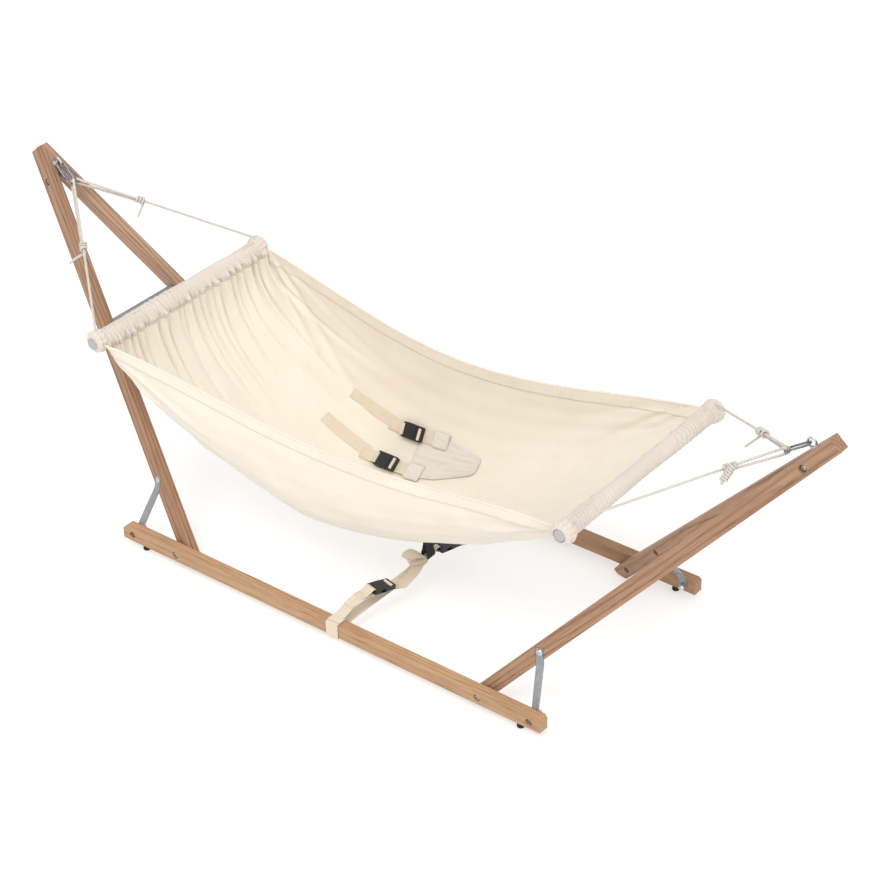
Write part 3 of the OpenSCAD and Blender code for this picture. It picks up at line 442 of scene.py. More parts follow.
def facing(vectors, like):
    """The vectors, turned round where they point against like."""
    return vectors * np.where((vectors * like).sum(-1, keepdims=True) < 0, -1, 1)


def grid_normals(points):
    return unit(cross(np.gradient(points, axis=0), np.gradient(points, axis=1)))


def xyz(x, y, z):
    """Points from their three coordinates, each a number or an array."""
    return np.stack(np.broadcast_arrays(x, y, z), -1)


def full_turn(count):
    """Angles evenly round a section."""
    return linspace(0, 2 * pi, count, endpoint=False)


def swept(line, x, y, across, normal):
    """A section of x and y, carried along a line by its two side vectors."""
    return line[..., None, :] + x[..., None] * across[..., None, :] + y[..., None] * normal[..., None, :]


print("grid kit ready")

# %% [markdown]
# ## Stitches
# Each hem is sewn down with two rows of thread, and each roll with one. A stitch is a short
# bead that sinks at both ends. There are thousands, so each has few faces.

# %% Rows of stitches
BEAD_ROWS, BEAD_SIDES = 5, 6


def stitch_row(name, line, up, length=2.0, gap=0.8, thick=0.6, body="bed"):
    """Beads along a line: each one starts length + gap after the last and follows the line.
    Its radius is thick / 2 at its middle and about a third of that at its ends."""
    s = lengths(line)
    t = linspace(0, 1, BEAD_ROWS)
    at = np.arange(gap, s[-1] - length, length + gap)[:, None] + t * length
    centre, lifted = sample(at, s, line), sample(at, s, up)
    side = unit(cross(unit(np.gradient(centre, axis=1)), lifted))
    r, q = thick / 2 * (0.35 + 0.65 * sin(pi * t))[:, None], full_turn(BEAD_SIDES)
    points = swept(centre, r * cos(q), r * sin(q), side, lifted)
    bead, per = grid_faces(BEAD_ROWS, BEAD_SIDES)[0], BEAD_ROWS * BEAD_SIDES
    faces = [[first + i for i in face] for first in range(0, len(at) * per, per) for face in bead]
    piece = mesh_piece(name, points, faces, THREAD)
    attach(piece, body)
    return piece


print("stitches ready")

# %% [markdown]
# ## The hung bed
# The bed is one length of canvas, gathered on a bar at each end. Between the bars its hems
# sag, and the cloth below them hangs in a deep curve with nearly upright sides. The formula
# is the CAD solid's own, so that the cloth hangs exactly where the solid is, and the folds
# are added on top of it. A simulation would settle somewhere else each time it is tuned.

# %% The bed's formula
HEAD_X, HEAD_Z, FOOT_X, FOOT_Z = -470.0, 368.0, 455.0, 378.0
BAR_R, BAR_END, ROLL_R = 10.0, 205.0, 15.0
BED_X0, BED_X1 = HEAD_X + ROLL_R + 1.35, FOOT_X - ROLL_R - 1.35
BED_LEN = BED_X1 - BED_X0
BELLY, BELLY_AT = 238.0, 0.38
HEAD_HALF, FOOT_HALF, HEM_IN, HEM_SAG = 198.0, 194.0, 28.0, 57.0
W_POWER = 1.4


def hem_y(f):
    return HEAD_HALF + (FOOT_HALF - HEAD_HALF) * f - HEM_IN * sin(pi * f) ** 0.9


def hem_z(f):
    return HEAD_Z + (FOOT_Z - HEAD_Z) * f - HEM_SAG * sin(pi * f) ** 1.5


def depth(f):
    """Depth under the hems: half an ellipse towards the head and a fuller curve to the foot."""
    ahead = clip((BELLY_AT - f) / BELLY_AT, 0, 1) ** 2
    behind = clip((f - BELLY_AT) / (1 - BELLY_AT), 0, 1) ** 1.15
    return BELLY * np.sqrt(clip(1 - ahead - behind, 0, 1))


def bed(f, w):
    """A point of the cloth. f runs from the head to the foot and w across, from -1 at the
    near hem to 1: a goes from 0 at a hem to a quarter turn at the bottom, y is the half width
    times cos a, and the drop is the depth times sin a to the power 0.68."""
    f, w = np.broadcast_arrays(np.asarray(f, float), np.asarray(w, float))
    g = clip(f, 0, 1)
    a = pi / 2 * (1 - clip(abs(w), 0, 1)) ** W_POWER
    return xyz(BED_X0 + BED_LEN * f, np.sign(w) * hem_y(g) * cos(a),
               hem_z(g) - depth(g) * sin(a) ** 0.68)


def across_at(y_share):
    """The w whose thread meets the bar at a share of the half width, from -1 to 1."""
    turn = np.arccos(clip(abs(y_share), 0, 1)) * 2 / pi
    return np.sign(y_share) * (1 - turn ** (1 / W_POWER))


def bed_up(f, w, e=0.004):
    """The cloth's unit normal on the side that the child lies on."""
    g, v = clip(f, e, 1 - e), clip(w, e - 1, 1 - e)
    return facing(unit(cross(bed(g + e, v) - bed(g - e, v), bed(g, v + e) - bed(g, v - e))), UP)


# The rows are closer together near the bars, and the columns near the bed's middle
ROWS, COLS = 140, 340
rows_f = (1 - cos(pi * linspace(0, 1, ROWS))) / 2
cols_w = 0.62 * linspace(-1, 1, COLS) + 0.38 * linspace(-1, 1, COLS) ** 3
F, W = np.meshgrid(rows_f, cols_w, indexing="ij")
flat_bed = bed(F, W)
run_across = concatenate([np.zeros((ROWS, 1)), np.cumsum(
    np.linalg.norm(np.diff(flat_bed, axis=1), axis=-1), axis=1)], 1)
girth = run_across.max()
drop = hem_z(F) - flat_bed[..., 2]
from_head, from_foot = np.hypot(BED_LEN * F, drop), np.hypot(BED_LEN * (1 - F), drop)
print("girth of the bed at its widest, mm:", round(girth))

# %% [markdown]
# ## Folds
# The canvas is wider than its bars, so it is pushed together on them. Long tucks leave the
# head bar and fade after a hand's breadth or two, shorter ones leave the foot bar, and a few
# strained folds run from each corner. A tuck is a soft ridge with a narrow valley beside it,
# which is what makes its dark line. All of them come from seeded lists.


# %% Fold the cloth
def tuck(centre_w, away, height, width, reach, lean=0.0):
    """A ridge exp(-x ** 2) with a valley at x = 1.4, where x is the distance from the tuck's
    thread in widths. It widens and fades with the distance from the bar."""
    mid = centre_w + lean * (away / reach) ** 0.8
    stretch = np.gradient(run_across, axis=1) / np.gradient(W, axis=1)
    x = (W - mid) * np.maximum(stretch, 60) / (width * (1 + 1.3 * clip(away / reach, 0, 1)))
    fade = clip(1 - away / reach, 0, 1) ** 1.3 * clip(away / 6, 0, 1)
    return height * fade * (np.exp(-x ** 2) - 1.45 * np.exp(-((x - 1.4) / 0.5) ** 2))


def tucks(rng, count, away, height, width, reach, sway=0.0):
    """The sum of many tucks, spread along a bar with seeded places and sizes."""
    places = (np.arange(count) + 0.5 + rng.uniform(-0.33, 0.33, count)) / count * 1.92 - 0.96
    return sum(tuck(across_at(p), away, height * rng.uniform(0.4, 1.0), width * rng.uniform(0.7, 1.3),
                    reach * rng.uniform(0.5, 1.0), sway * rng.uniform(-1, 1)) for p in places)


rng = np.random.default_rng(11)
lift = tucks(rng, 21, from_head, 7.6, 4.4, 330, 0.03) + tucks(rng, 44, from_head, 3.6, 2.9, 80)
lift += tucks(rng, 40, from_foot, 3.8, 3.0, 80) + tucks(rng, 11, from_foot, 5.0, 7.0, 230, 0.05)
# Strained folds run from the corners
for side in (-1, 1):
    for start, lean, height, width, reach in (
            (0.93, 0.25, 2.6, 7, 330), (0.88, 0.62, 4.2, 9, 420), (0.76, 0.50, 3.6, 8, 360)):
        lift += tuck(side * start, from_head, height, width, reach, -side * lean)
        lift += tuck(side * start, from_foot, height * 0.9, width, reach * 0.85, -side * lean * 1.1)
# Slow waves, at their full height from 90 mm off each bar
waves = sum(h * sin(pi * (a * F + b * W + c)) for h, a, b, c in
            ((0.9, 5.2, 2.3, 0.2), (0.7, -7.5, 5.1, 1.1), (0.5, 11, -7.7, 0.6), (0.4, 3, 16, 0.4)))
lift += waves * clip(from_head / 90, 0, 1) * clip(from_foot / 90, 0, 1)
lift = clip(lift, -9, 11) * (1 - abs(W) ** 10)
cloth_points = flat_bed + bed_up(F, W) * lift[..., None]
sling = sheet_piece("bed_sling", cloth_points, CANVAS, 1.1, linspace(0, girth, COLS),
                    lengths(flat_bed[:, COLS // 2]))
edges = cross(np.diff(cloth_points, axis=0)[:, :-1], np.diff(cloth_points, axis=1)[:-1])
cloth_up = facing(grid_normals(cloth_points), bed_up(F, W))


# %% Find places on the cloth
def on_cloth(f, w, lift_mm=0.0):
    """Points on the folded cloth at f and w, raised by lift_mm: each is a weighted mean of
    the four grid points round it."""
    f, w, up = np.broadcast_arrays(f, w, lift_mm)
    r = clip(interp(f, rows_f, np.arange(ROWS)), 0, ROWS - 1.001)
    c = clip(interp(w, cols_w, np.arange(COLS)), 0, COLS - 1.001)
    i, j = r.astype(int), c.astype(int)
    s, t = (r - i)[..., None], (c - j)[..., None]

    def blend(grid):
        return ((grid[i, j] * (1 - t) + grid[i, j + 1] * t) * (1 - s)
                + (grid[i + 1, j] * (1 - t) + grid[i + 1, j + 1] * t) * s)

    return blend(cloth_points) + unit(blend(cloth_up)) * up[..., None]


def fold_back(f, side, inset):
    """The w that lies inset millimetres in from a hem, measured along the cloth."""
    rows = interp(f, rows_f, np.arange(ROWS)).round().astype(int)
    runs = run_across[rows]
    if side > 0:
        runs = runs[:, -1:] - runs[:, ::-1]
    w = np.stack([interp(inset, run, cols_w + 1) for run in runs]) - 1
    return w * -side


print("cloth finder ready")

# %% [markdown]
# ## Hems
# Each long edge is folded over twice and sewn down, so it is three layers thick and a finger
# wide. Sewing a curved edge takes up its inner layers a little, so the hem puckers between
# its two rows of stitches.

# %% Hem bands
HEM_MM, HEM_ROWS, PUCKERS = 23.0, 820, 130


def hem_band(name, side, seed):
    """A closed sleeve over the cloth's edge: 7 lines down each face, about 1 mm proud of the
    cloth, with puckers that fade at the band's two edges."""
    rng = np.random.default_rng(seed)
    f = linspace(0.004, 0.996, HEM_ROWS)
    inset = array([HEM_MM, 21.5, 18.0, 12.0, 6.0, 2.5, 0.6])
    w = fold_back(f, side, inset)
    pace = np.cumsum(rng.uniform(0.4, 1.6, HEM_ROWS))
    phase = (pace / pace[-1] * 2 * pi * PUCKERS)[:, None]
    bulge = sin(pi * inset / HEM_MM)[None] ** 0.7
    knots = np.arange(0, HEM_ROWS + 21, 7)
    tall = interp(np.arange(HEM_ROWS), knots, rng.uniform(-0.5, 1, len(knots)) ** 2)[:, None]
    pucker = tall * bulge * (0.8 * sin(phase + inset * 0.05) + 0.7 * sin(phase * 0.37 + inset * 0.2))
    pad = array([0.25, 0.85, 1.0, 1.05, 1.05, 0.9, 0.5])
    inner = on_cloth(f[:, None], w, 0.55 + pad + clip(pucker, -0.7, 2))
    outer = on_cloth(f[:, None], w, -0.55 - pad + clip(pucker, -2, 0.7))
    rise = array([0, 0, 0, 0, 0, 0.4, 0.9])[:, None] * UP
    ring = concatenate([inner + rise, (outer + rise)[:, ::-1]], 1)
    around = concatenate([inset, -inset[::-1], [-HEM_MM - 3]])
    band = grid_piece(name, ring, CANVAS, "bed", around, lengths(ring[:, 6]))
    return band, inner, outer


for side_name, side, seed in (("near", -1, 5), ("far", 1, 6)):
    band, inner, outer = hem_band("hem_" + side_name, side, seed)
    for face, grid, back in (("in", inner, outer), ("out", outer, inner)):
        for row_name, column in (("low", 1), ("top", 5)):
            line = grid[8:-8, column]
            up = unit(cross(np.gradient(line, axis=0), grid[8:-8, column - 1] - line))
            up = facing(up, line - back[8:-8, column])
            stitch_row(f"seam_{side_name}_{face}_{row_name}", line + up * 0.15, up,
                                    3.0, 1.1, 0.75)

# %% [markdown]
# ## Gathered channels
# At each end the canvas is folded back over the bar and stitched, which makes a channel. It
# is pushed together along the bar, so it ruches: narrow ridges run round the roll, over the
# stitching and into the tucks. It ruches most towards the bar's ends, where the cloth bunches
# up like a drawstring bag and the bar's cap looks out of the mouth.


# %% Ruched channels
RIDGES, SKIRT_MM = 56, 13.0


def ruches(rng, samples, calm):
    """A phase along the bar, whose |sin| gives round ridges and sharp valleys, and how tall
    each ridge is, from 0 to 1. The phase comes from a seeded walk. The cloth is calmer
    between the two places in calm, where the bar's ends are -1 and 1."""
    y = linspace(-1, 1, samples)
    pace = np.cumsum(rng.uniform(0.5, 1.5, samples) * (1 + 0.35 * sin(y * 9 + 1)))
    phase = pace / pace[-1] * pi * RIDGES
    each = interp(phase / pi, np.arange(RIDGES + 2), rng.uniform(0.45, 1.0, RIDGES + 2))
    low, high = calm
    ends = [-1, low - 0.15, low + 0.15, high - 0.15, high + 0.15, 1]
    return phase, each * interp(y, ends, [1, 1, 0.13, 0.13, 1, 1])


def channel(name, bar_x, bar_z, toward, seed, away, calm, mouth_r):
    """The roll round the bar: radius over the distance along it and the angle, with ridges
    that slant a little, and a bunch with folds of its own at each end."""
    rng = np.random.default_rng(seed)
    rows, cols = 1000, 54
    y = linspace(-BAR_END - 3, BAR_END + 3, rows)
    angle = full_turn(cols)
    Y, A = np.meshgrid(y, angle, indexing="ij")
    phase, tall = ruches(rng, rows, calm)
    slant = 0.8 * sin(A + seed) + 0.35 * sin(2 * A + y[:, None] / 31)
    ridge = tall[:, None] * (abs(sin(phase[:, None] + slant)) ** 0.75 - 0.55)
    bunch = clip((abs(Y) - 178) / 12, 0, 1)
    bunch = bunch * bunch * (3 - 2 * bunch)
    close = clip((abs(Y) - (BAR_END - 7)) / 10, 0, 1) ** 2.2
    mouth = abs(sin(5.5 * A + seed + 0.5 * sin(Y / 4))) ** 0.8 - 0.5
    radius = 12.9 + ridge * 4.4 * (1 - 0.6 * bunch) + 0.5 * sin(Y / 23 + 2 * A)
    radius = np.maximum(radius + 4.4 * bunch + mouth * bunch * 3.4, 10.9)
    radius = radius * (1 - close) + (mouth_r + mouth) * close
    outer = xyz(bar_x + radius * cos(A), Y, bar_z + radius * sin(A))
    lip_r = array([BAR_R + 0.35, BAR_R + 0.45, mouth_r + 0.2])[:, None]
    lip_y = array([BAR_END - 1.5, BAR_END + 0.5, BAR_END + 2.1])[:, None]
    lip = xyz(bar_x + lip_r * cos(angle), lip_y, bar_z + lip_r * sin(angle))
    points = concatenate([lip * [1, -1, 1], outer, lip[::-1]])
    roll = grid_piece(name + "_roll", points, SHADED_CANVAS, "bed",
                      linspace(0, 2 * pi * 13, cols + 1), lengths(points[:, 0]))
    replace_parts(roll, name + "_channel")
    return [roll, *channel_skirt(name, bar_x, bar_z, toward, seed, away, calm)]


def channel_skirt(name, bar_x, bar_z, toward, seed, away, calm):
    """The doubled cloth between the roll and its stitching: it leaves the top of the roll,
    follows the bed for 13 mm, and comes back up its outer face to the roll's underside."""
    rng = np.random.default_rng(seed)
    rows = 760
    share = linspace(-0.985, 0.985, rows)
    phase, tall = ruches(rng, rows, calm)
    w = across_at(share)
    downs = array([1.0, 2.5, 4, 5.5, 7, 8.5, 10, 12, SKIRT_MM])
    threads = interp(w, cols_w, np.arange(COLS)).round().astype(int)
    order = slice(None) if toward > 0 else slice(None, None, -1)
    f = np.stack([interp(downs, away[order, c], rows_f[order]) for c in threads])
    fade = interp(downs, [0, 8, SKIRT_MM], [1, 0.85, 0.6])
    swell = tall[:, None] * abs(sin(phase[:, None] + downs * 0.02)) ** 0.8 * fade
    pinch = interp(downs, [0, 6, 8.5, 10, SKIRT_MM], [1, 1, 0.45, 0.8, 0.1])
    inner = on_cloth(f, w[:, None], 0.6 + (0.5 + 3.4 * swell) * pinch)
    outer = on_cloth(f, w[:, None], -0.6 - (0.5 + 1.6 * swell) * pinch)
    r, y = 12.6, share[:, None] * HEAD_HALF
    lifted = (r + 3.6 * tall * abs(sin(phase)) ** 0.8)[:, None] * [0.9, 0.98, 1.04, 1.1]
    over, under = (xyz(bar_x + toward * out * cos(q), y, bar_z + out * sin(q)) for out, q in (
        (lifted, radians([80, 60, 40, 20])), (r, radians([-70, -100]))))
    ring = concatenate([over, inner, outer[:, ::-1][:, :5], under], 1)
    run = concatenate([lengths(ring[rows // 2]), [140]])
    skirt = grid_piece(name + "_skirt", ring, SHADED_CANVAS, "bed", run, lengths(ring[:, 2]))
    line = inner[6:-6, 5]
    up = unit(line - outer[6:-6, 5])
    return skirt, stitch_row(name + "_channel_seam", line + up * 0.2, up, 2.6, 1.0, 0.8)


head_cloth = channel("head", HEAD_X, HEAD_Z, 1, 3, from_head, (0.05, 0.72), 3.6)
foot_cloth = channel("foot", FOOT_X, FOOT_Z, -1, 8, from_foot, (-0.5, 0.42), 10.6)
print("channels made")

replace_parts(sling, "bed_cloth")

# %% [markdown]
# ## Ropes
# Four cotton cords run from the bar's ends to the hooks. Each is wound round the bar inside
# the gathers, goes round the hook's end, comes back and is knotted round itself. A twisted
# cord has three strands, so its section is a rounded triangle that turns once in each lay of
# 15 mm. A sweep along a smooth line keeps every turn of the knots whole.


# %% Rope builder
ROPE_D, ROPE_LAY, ROPE_SIDES = 4.5, 15.0, 18


def rope_piece(name, route, node):
    """Rows every 0.9 mm. The section is the outline of three round strands: the radius
    reaches the far side of the nearest strand's circle, k being the angle from that strand,
    and the strands turn with the run."""
    line = even(spline(route, 0.8), 0.9)
    for _ in range(2):
        line[1:-1] = line[1:-1] * 0.5 + (line[:-2] + line[2:]) * 0.25
    along = unit(np.gradient(line, axis=0))
    side = np.zeros_like(line)
    side[0] = unit(cross(along[0], [0.3, 0.9, 0.2]))
    for i in range(1, len(line)):
        side[i] = unit(side[i - 1] - along[i] * (side[i - 1] @ along[i]))
    s, q = lengths(line), full_turn(ROPE_SIDES)
    turn = q - 2 * pi * s[:, None] / ROPE_LAY
    strand_r, strand_at = ROPE_D * 0.268, ROPE_D * 0.232
    k = abs(((turn / (2 * pi / 3) + 0.5) % 1) - 0.5) * 2 * pi / 3
    radius = strand_at * cos(k) + np.sqrt(np.maximum(strand_r ** 2 - (strand_at * sin(k)) ** 2, 0))
    radius *= clip(np.minimum(s, s[-1] - s) / 2.2, 0.55, 1)[:, None]
    points = swept(line, radius * cos(q), radius * sin(q), side, cross(along, side))
    rope = grid_piece(name, points, ROPE, "bed",
                      linspace(0, pi * ROPE_D, ROPE_SIDES + 1), s)
    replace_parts(rope, node)
    print(name, "length, mm:", round(s[-1]))


# %% Rope routes
# From the CAD model: the wire's thickness and the rope's gap from it, the hooks' slope, their
# angle from the middle line, the middle of the eye, a hook's length and its end's radius, and
# how far in the eye one hook or a stack of two hangs
WIRE, SOFT_GAP = 3.6, 0.35
SLOPE, FAN = radians(35), radians(10)
EYE_X, EYE_Z, HOOK_L, HOOK_R = 733.761, 532.906, 50.0, 7.2
SINGLE_IN, STACK = 10.4 / 2 - WIRE / 2 - 0.45, 4.0
DOUBLE_IN = np.sqrt(SINGLE_IN ** 2 - (STACK / 2) ** 2)
KNOT_R = ROPE_D + 0.5


def hook_end(side, fan):
    """The middle of the hook's lower bend, where the rope lies."""
    reach, lean = HOOK_L - WIRE, fan * FAN
    s = (SINGLE_IN if fan == 0 else DOUBLE_IN) + reach * cos(lean)
    n = fan * STACK / 2
    return array([side * (EYE_X - s * cos(SLOPE) + n * sin(SLOPE)), reach * sin(lean),
                  EYE_Z - s * sin(SLOPE) - n * cos(SLOPE)])


def coil(centre, u, v, step, radius, turns):
    """Turns round a line: the centre plus radius times u cos k plus v sin k, moved by step a
    turn."""
    k = radians(np.arange(0, turns * 360 + 1, 22.5))[:, None]
    return centre + (u * cos(k) + v * sin(k)) * radius + step * k / (2 * pi)


def rope_route(side, bar_x, bar_z, hand, fan, at, tail, groups, bundle=0):
    """Points along one rope: round the bar, to the hook, round it, back to the knot, the
    knot's groups of turns round the standing part, and the tail. A bundle is a longer tail
    that turns back and is wound round itself. a lies over the hook's end and b under it, e
    points along the standing part, and u and v across it."""
    r0 = (BAR_R + ROPE_D / 2 + SOFT_GAP) / cos(pi / 8)
    yb = hand * (BAR_END - 9)
    wy = hand * (ROPE_D / 2 + SOFT_GAP) if fan == 0 else 0
    along = array([side * cos(SLOPE), 0, sin(SLOPE)])
    w = hook_end(side, fan) + [0, wy, 0] + along * (HOOK_R - np.sqrt(HOOK_R ** 2 - wy ** 2))
    up = array([-side * sin(SLOPE), 0, cos(SLOPE)]) * (WIRE / 2 + ROPE_D / 2 + SOFT_GAP)
    start = array([side * bar_x, yb, bar_z + r0])
    q = radians(np.arange(315, 0, -22.5))
    wrap = xyz(side * bar_x - side * r0 * sin(q), yb + hand * 0.75 * q / radians(45),
               bar_z + r0 * cos(q))
    a, b, e = w + up, w - up, unit(w + up - start)
    back = along * np.linalg.norm(up)
    knot = start + (a - start) * at
    u = unit(-up - e * (-up @ e))
    v = cross(e, u) * hand
    q = radians(np.arange(22.5, 180, 22.5))[:, None]
    bend = w + up * cos(q) + back * sin(q)
    turns = [coil(knot + e * gap, u, v, -e * KNOT_R, KNOT_R, count) for gap, count in groups]
    last = turns[-1][-1]
    route = [wrap, [start + e * 4, start + (a - start) * 0.3, start + (a - start) * 0.6, a - e * 3, a],
             bend, [b, b - e * 3, knot + e * (groups[0][0] + 6) + u * KNOT_R], *turns]
    if bundle:
        down = unit(array([-0.30, -0.45, -0.84]))
        aside = unit(cross(down, e))
        aside = aside * -np.sign(aside[1])
        centre = knot + aside * (KNOT_R + 7) + down * 4
        top, foot = centre - down * bundle / 2, centre + down * bundle / 2
        count = round((bundle - 7) / 4.3)
        wound = coil(foot - down * 2, aside, cross(down, aside), -down * 4.3, 4.4, count)
        end = wound[-1] + unit(wound[-1] - top) * 2 - down * 6
        route += [[last + aside * 3 - down * 4, (last + top) / 2 + aside * 2, top, centre, foot - down * 3,
                   foot + down * 2 + aside * 2.2], wound, [end]]
    else:
        tail = np.asarray(tail, float)
        route += [[last + v * 4 + u * 2, last + tail * 0.5 + u * 1.5, last + tail]]
    return concatenate(route)


# For each rope: the stand's end, the bar, the hand, the hook's place in its fan, the knot's
# share of the way to the hook, the tail, the knot's groups as their start and turns, and the
# length of a bundle
ROPES = {
    "rope_head_left": (-1, -HEAD_X, HEAD_Z, -1, -1, 0.59, [-14, -20, -18], [(0, 3)]),
    "rope_head_right": (-1, -HEAD_X, HEAD_Z, 1, 1, 0.69, [6, -22, -16], [(0, 3)]),
    "rope_foot_left": (1, FOOT_X, FOOT_Z, -1, 0, 0.76, None, [(0, 2)], 36),
    "rope_foot_right": (1, FOOT_X, FOOT_Z, 1, 0, 0.70, [-14, -20, -18], [(14, 1.5), (0, 3)]),
}
for node, facts in ROPES.items():
    rope_piece("cord_" + node[5:], rope_route(*facts), node)

# %% [markdown]
# ## Straps
# Webbing is woven flat with soft round edges. A strap is a narrow closed section carried
# along its line, turned by a side vector that lies across it, so it can fold back on itself
# through a buckle without twisting.


# %% Strap builder
STRAP_W, THROUGH_W = 25.0, 20.5


def strap_piece(name, points, sides, body=None, width=THROUGH_W, thick=1.2, step=1.6,
                material=WEBBING):
    """The section is a flat rounded bar of 16 points, x = |cos| ** 0.35 of half the width and
    z = |sin| ** 0.8 of half the thickness, along the line's own frame."""
    points, sides = np.asarray(points, float), np.asarray(sides, float)
    fine = even(spline(points, step), step)
    s_in, run = lengths(points), lengths(fine)
    across = unit(sample(run / run[-1] * s_in[-1], s_in, sides))
    along = unit(np.gradient(fine, axis=0))
    across = unit(across - along * (across * along).sum(-1, keepdims=True))
    q = full_turn(16)
    x = np.sign(cos(q)) * abs(cos(q)) ** 0.35 * width / 2
    z = np.sign(sin(q)) * abs(sin(q)) ** 0.8 * thick / 2
    grid = swept(fine, x, z, across, cross(along, across))
    round_it = np.append(lengths(xyz(x, z, 0)), 2 * (width + thick))
    return grid_piece(name, grid, material, body, round_it, run)


def in_frame(matrix, local):
    """Local points, in millimetres, placed by a 4 by 4 matrix."""
    m = array(matrix)
    return np.asarray(local) @ m[:3, :3].T + m[:3, 3]


def sides_of(matrix, count):
    """The matrix's Y axis, once for each point of a strap."""
    return np.repeat(array(matrix)[None, :3, 1], count, 0)


def buckle_on_bed(f, w, high=5.15):
    """The CAD's place for a harness buckle: high millimetres over the cloth, tipped with its
    normal."""
    n = bed_up(array(f), array(w))
    p = bed(f, w) + n * high
    turn = Matrix.Rotation(np.arctan2(n[1], n[0]), 4, "Z")
    return Matrix.Translation(p) @ turn @ Matrix.Rotation(np.arccos(n[2]), 4, "Y") @ turn.inverted()


def buckle_on_strap(p, d):
    """The CAD's place for a tether buckle: its X axis runs along the strap."""
    return (Matrix.Translation(p) @ Matrix.Rotation(np.arctan2(d[1], d[0]), 4, "Z")
            @ Matrix.Rotation(-np.arcsin(d[2]), 4, "Y") @ Matrix.Translation((0, 0, -3.75)))


# In a buckle's own frame, X runs to the plug and Z up. The strap comes up through the slot
# at the socket's tail, over its bar and back. The tab goes round the plug's inner bar.
SOCKET_IN = array([[-36, 0, -2.0], [-31, 0, -1.6], [-26.5, 0, -1.0], [-24.2, 0, 0.8],
                   [-23.8, 0, 3.8], [-24.2, 0, 7.1], [-26.5, 0, 8.6], [-30.5, 0, 7.2], [-35, 0, 3.6]])
PLUG_OUT = array([[17, 0, -0.2], [12.6, 0, 0.0], [10.8, 0, 2.2], [10.5, 0, 5.0], [9.9, 0, 7.2],
                  [8.1, 0, 8.0], [6.3, 0, 7.2], [5.7, 0, 5.0], [5.6, 0, 2.6], [5.6, 0, 1.2]])


def plug_tab(name, place, tab, body):
    """A short tab: it starts with the points in tab and ends round the plug's inner bar."""
    points = concatenate([tab, in_frame(place, PLUG_OUT)])
    strap_piece(name, points, sides_of(place, len(points)), body, step=1.2)


print("strap kit ready")

# %% [markdown]
# ## The harness
# A cream apron is sewn to the bed and comes up between the child's legs. Two webbing straps
# come from behind the shoulders, and each is closed with a side release buckle. With nobody
# in it, the harness lies against the far side of the bed. Each plug hangs on a short tab,
# and the tab's end is held under a square patch that is sewn to the apron on three sides.


# %% Apron and patches
def laid_cloth(name, f, w, high):
    """A cloth over the bed, high millimetres above it at each of its grid's points."""
    points = on_cloth(f, w, high)
    rows, cols = points.shape[:2]
    return sheet_piece(name, points, APRON, 1.0, lengths(points[rows // 2]),
                       lengths(points[:, cols // 2])), points


def border_stitches(name, points, inset, length):
    """Stitches along three edges of a laid cloth, a few of its columns and rows in."""
    ups = facing(grid_normals(points), UP)

    def trace(grid):
        return concatenate([grid[inset:-inset, inset], grid[-inset - 1, inset + 1:-inset - 1],
                            grid[inset:-inset, -inset - 1][::-1]])

    return stitch_row(name, trace(points + ups * 0.6), trace(ups), length, 0.9)


# Where the two buckles lie, as f and w, the millimetres in one w there, and the apron's
# middle, as w, and half width
BUCKLES = (("a", 0.388, 0.29), ("b", 0.417, 0.50))
W_MM, APRON_MID, APRON_HALF = 305, 0.395, 42.0
widths = [1, 0.964, 0.928, 0.892, 0.856, 0.762, 0.667, 0.572, 0.477, 0.382]
s, q = linspace(0, 1, 96)[:, None], linspace(-1, 1, 56)[None]
half = APRON_HALF * interp(s * 9, range(10), widths) * (1 - 0.16 * clip(1 - s / 0.05, 0, 1) ** 2)
half = half * (1 - 0.35 * clip((s - 0.94) / 0.06, 0, 1) ** 2)
f, w = 0.425 + 0.15 * s + 0 * q, APRON_MID + half / W_MM * q
folds = 0.8 * sin(9 * q + 5 * s) * sin(pi * s) + 0.6 * sin(23 * q * (1 - 0.4 * s) + 2)
folds = folds + 0.5 * sin(14 * s + 4 * q) + 0.35 * sin(31 * s - 11 * q)
edge = clip((1 - abs(q)) / 0.1, 0, 1) * clip(np.minimum(s, 1 - s) / 0.05, 0, 1)
# The apron lies flat where a plug and its tab slide over it
off_a, off_b = (np.maximum(abs((f - f0) * BED_LEN - 35) - 30, abs(w - w0) * W_MM - 14)
                for _, f0, w0 in BUCKLES)
loose = clip(np.minimum(off_a, off_b) / 12, 0, 1)
apron, apron_points = laid_cloth("apron", f, w, 2.0 + edge * (0.6 + loose * (0.9 + 0.75 * folds)))
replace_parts(apron, "harness_apron")
apron_seams = [border_stitches("apron_seam", apron_points, 3, 2.4)]
for tag, f0, w0 in BUCKLES:
    s, q = linspace(0, 1, 30)[:, None], linspace(-1, 1, 26)[None]
    f, w = f0 + (37 + 29 * s) / BED_LEN + 0 * q, w0 + 15.0 / W_MM * q * (1 - 0.03 * s)
    pocket = (1 - abs(q) ** 10) * (1 - s ** 12)
    patch, points = laid_cloth("patch_" + tag, f, w, 3.9 + 3.6 * pocket + 0.2 * sin(9 * q + 7 * s))
    apron_seams += [patch, border_stitches("patch_seam_" + tag, points, 2, 2.0)]
print("apron and patches made")

# %% [markdown]
# ## Shoulder straps and tabs
# A strap lies on the bed, runs up through the slot at the socket's tail, over its bar and
# back, and is sewn to itself. Its far end is sewn to the bed with a box of stitches.


# %% Harness straps
def over_bed(points, least):
    """The same points, raised along the cloth's normal where they are less than least
    millimetres over it."""
    f = (points[:, 0] - BED_X0) / BED_LEN
    w = across_at(points[:, 1] / hem_y(f))
    base = on_cloth(f, w)
    up = on_cloth(f, w, 1.0) - base
    return points + up * np.maximum(least - ((points - base) * up).sum(-1), 0)[:, None]


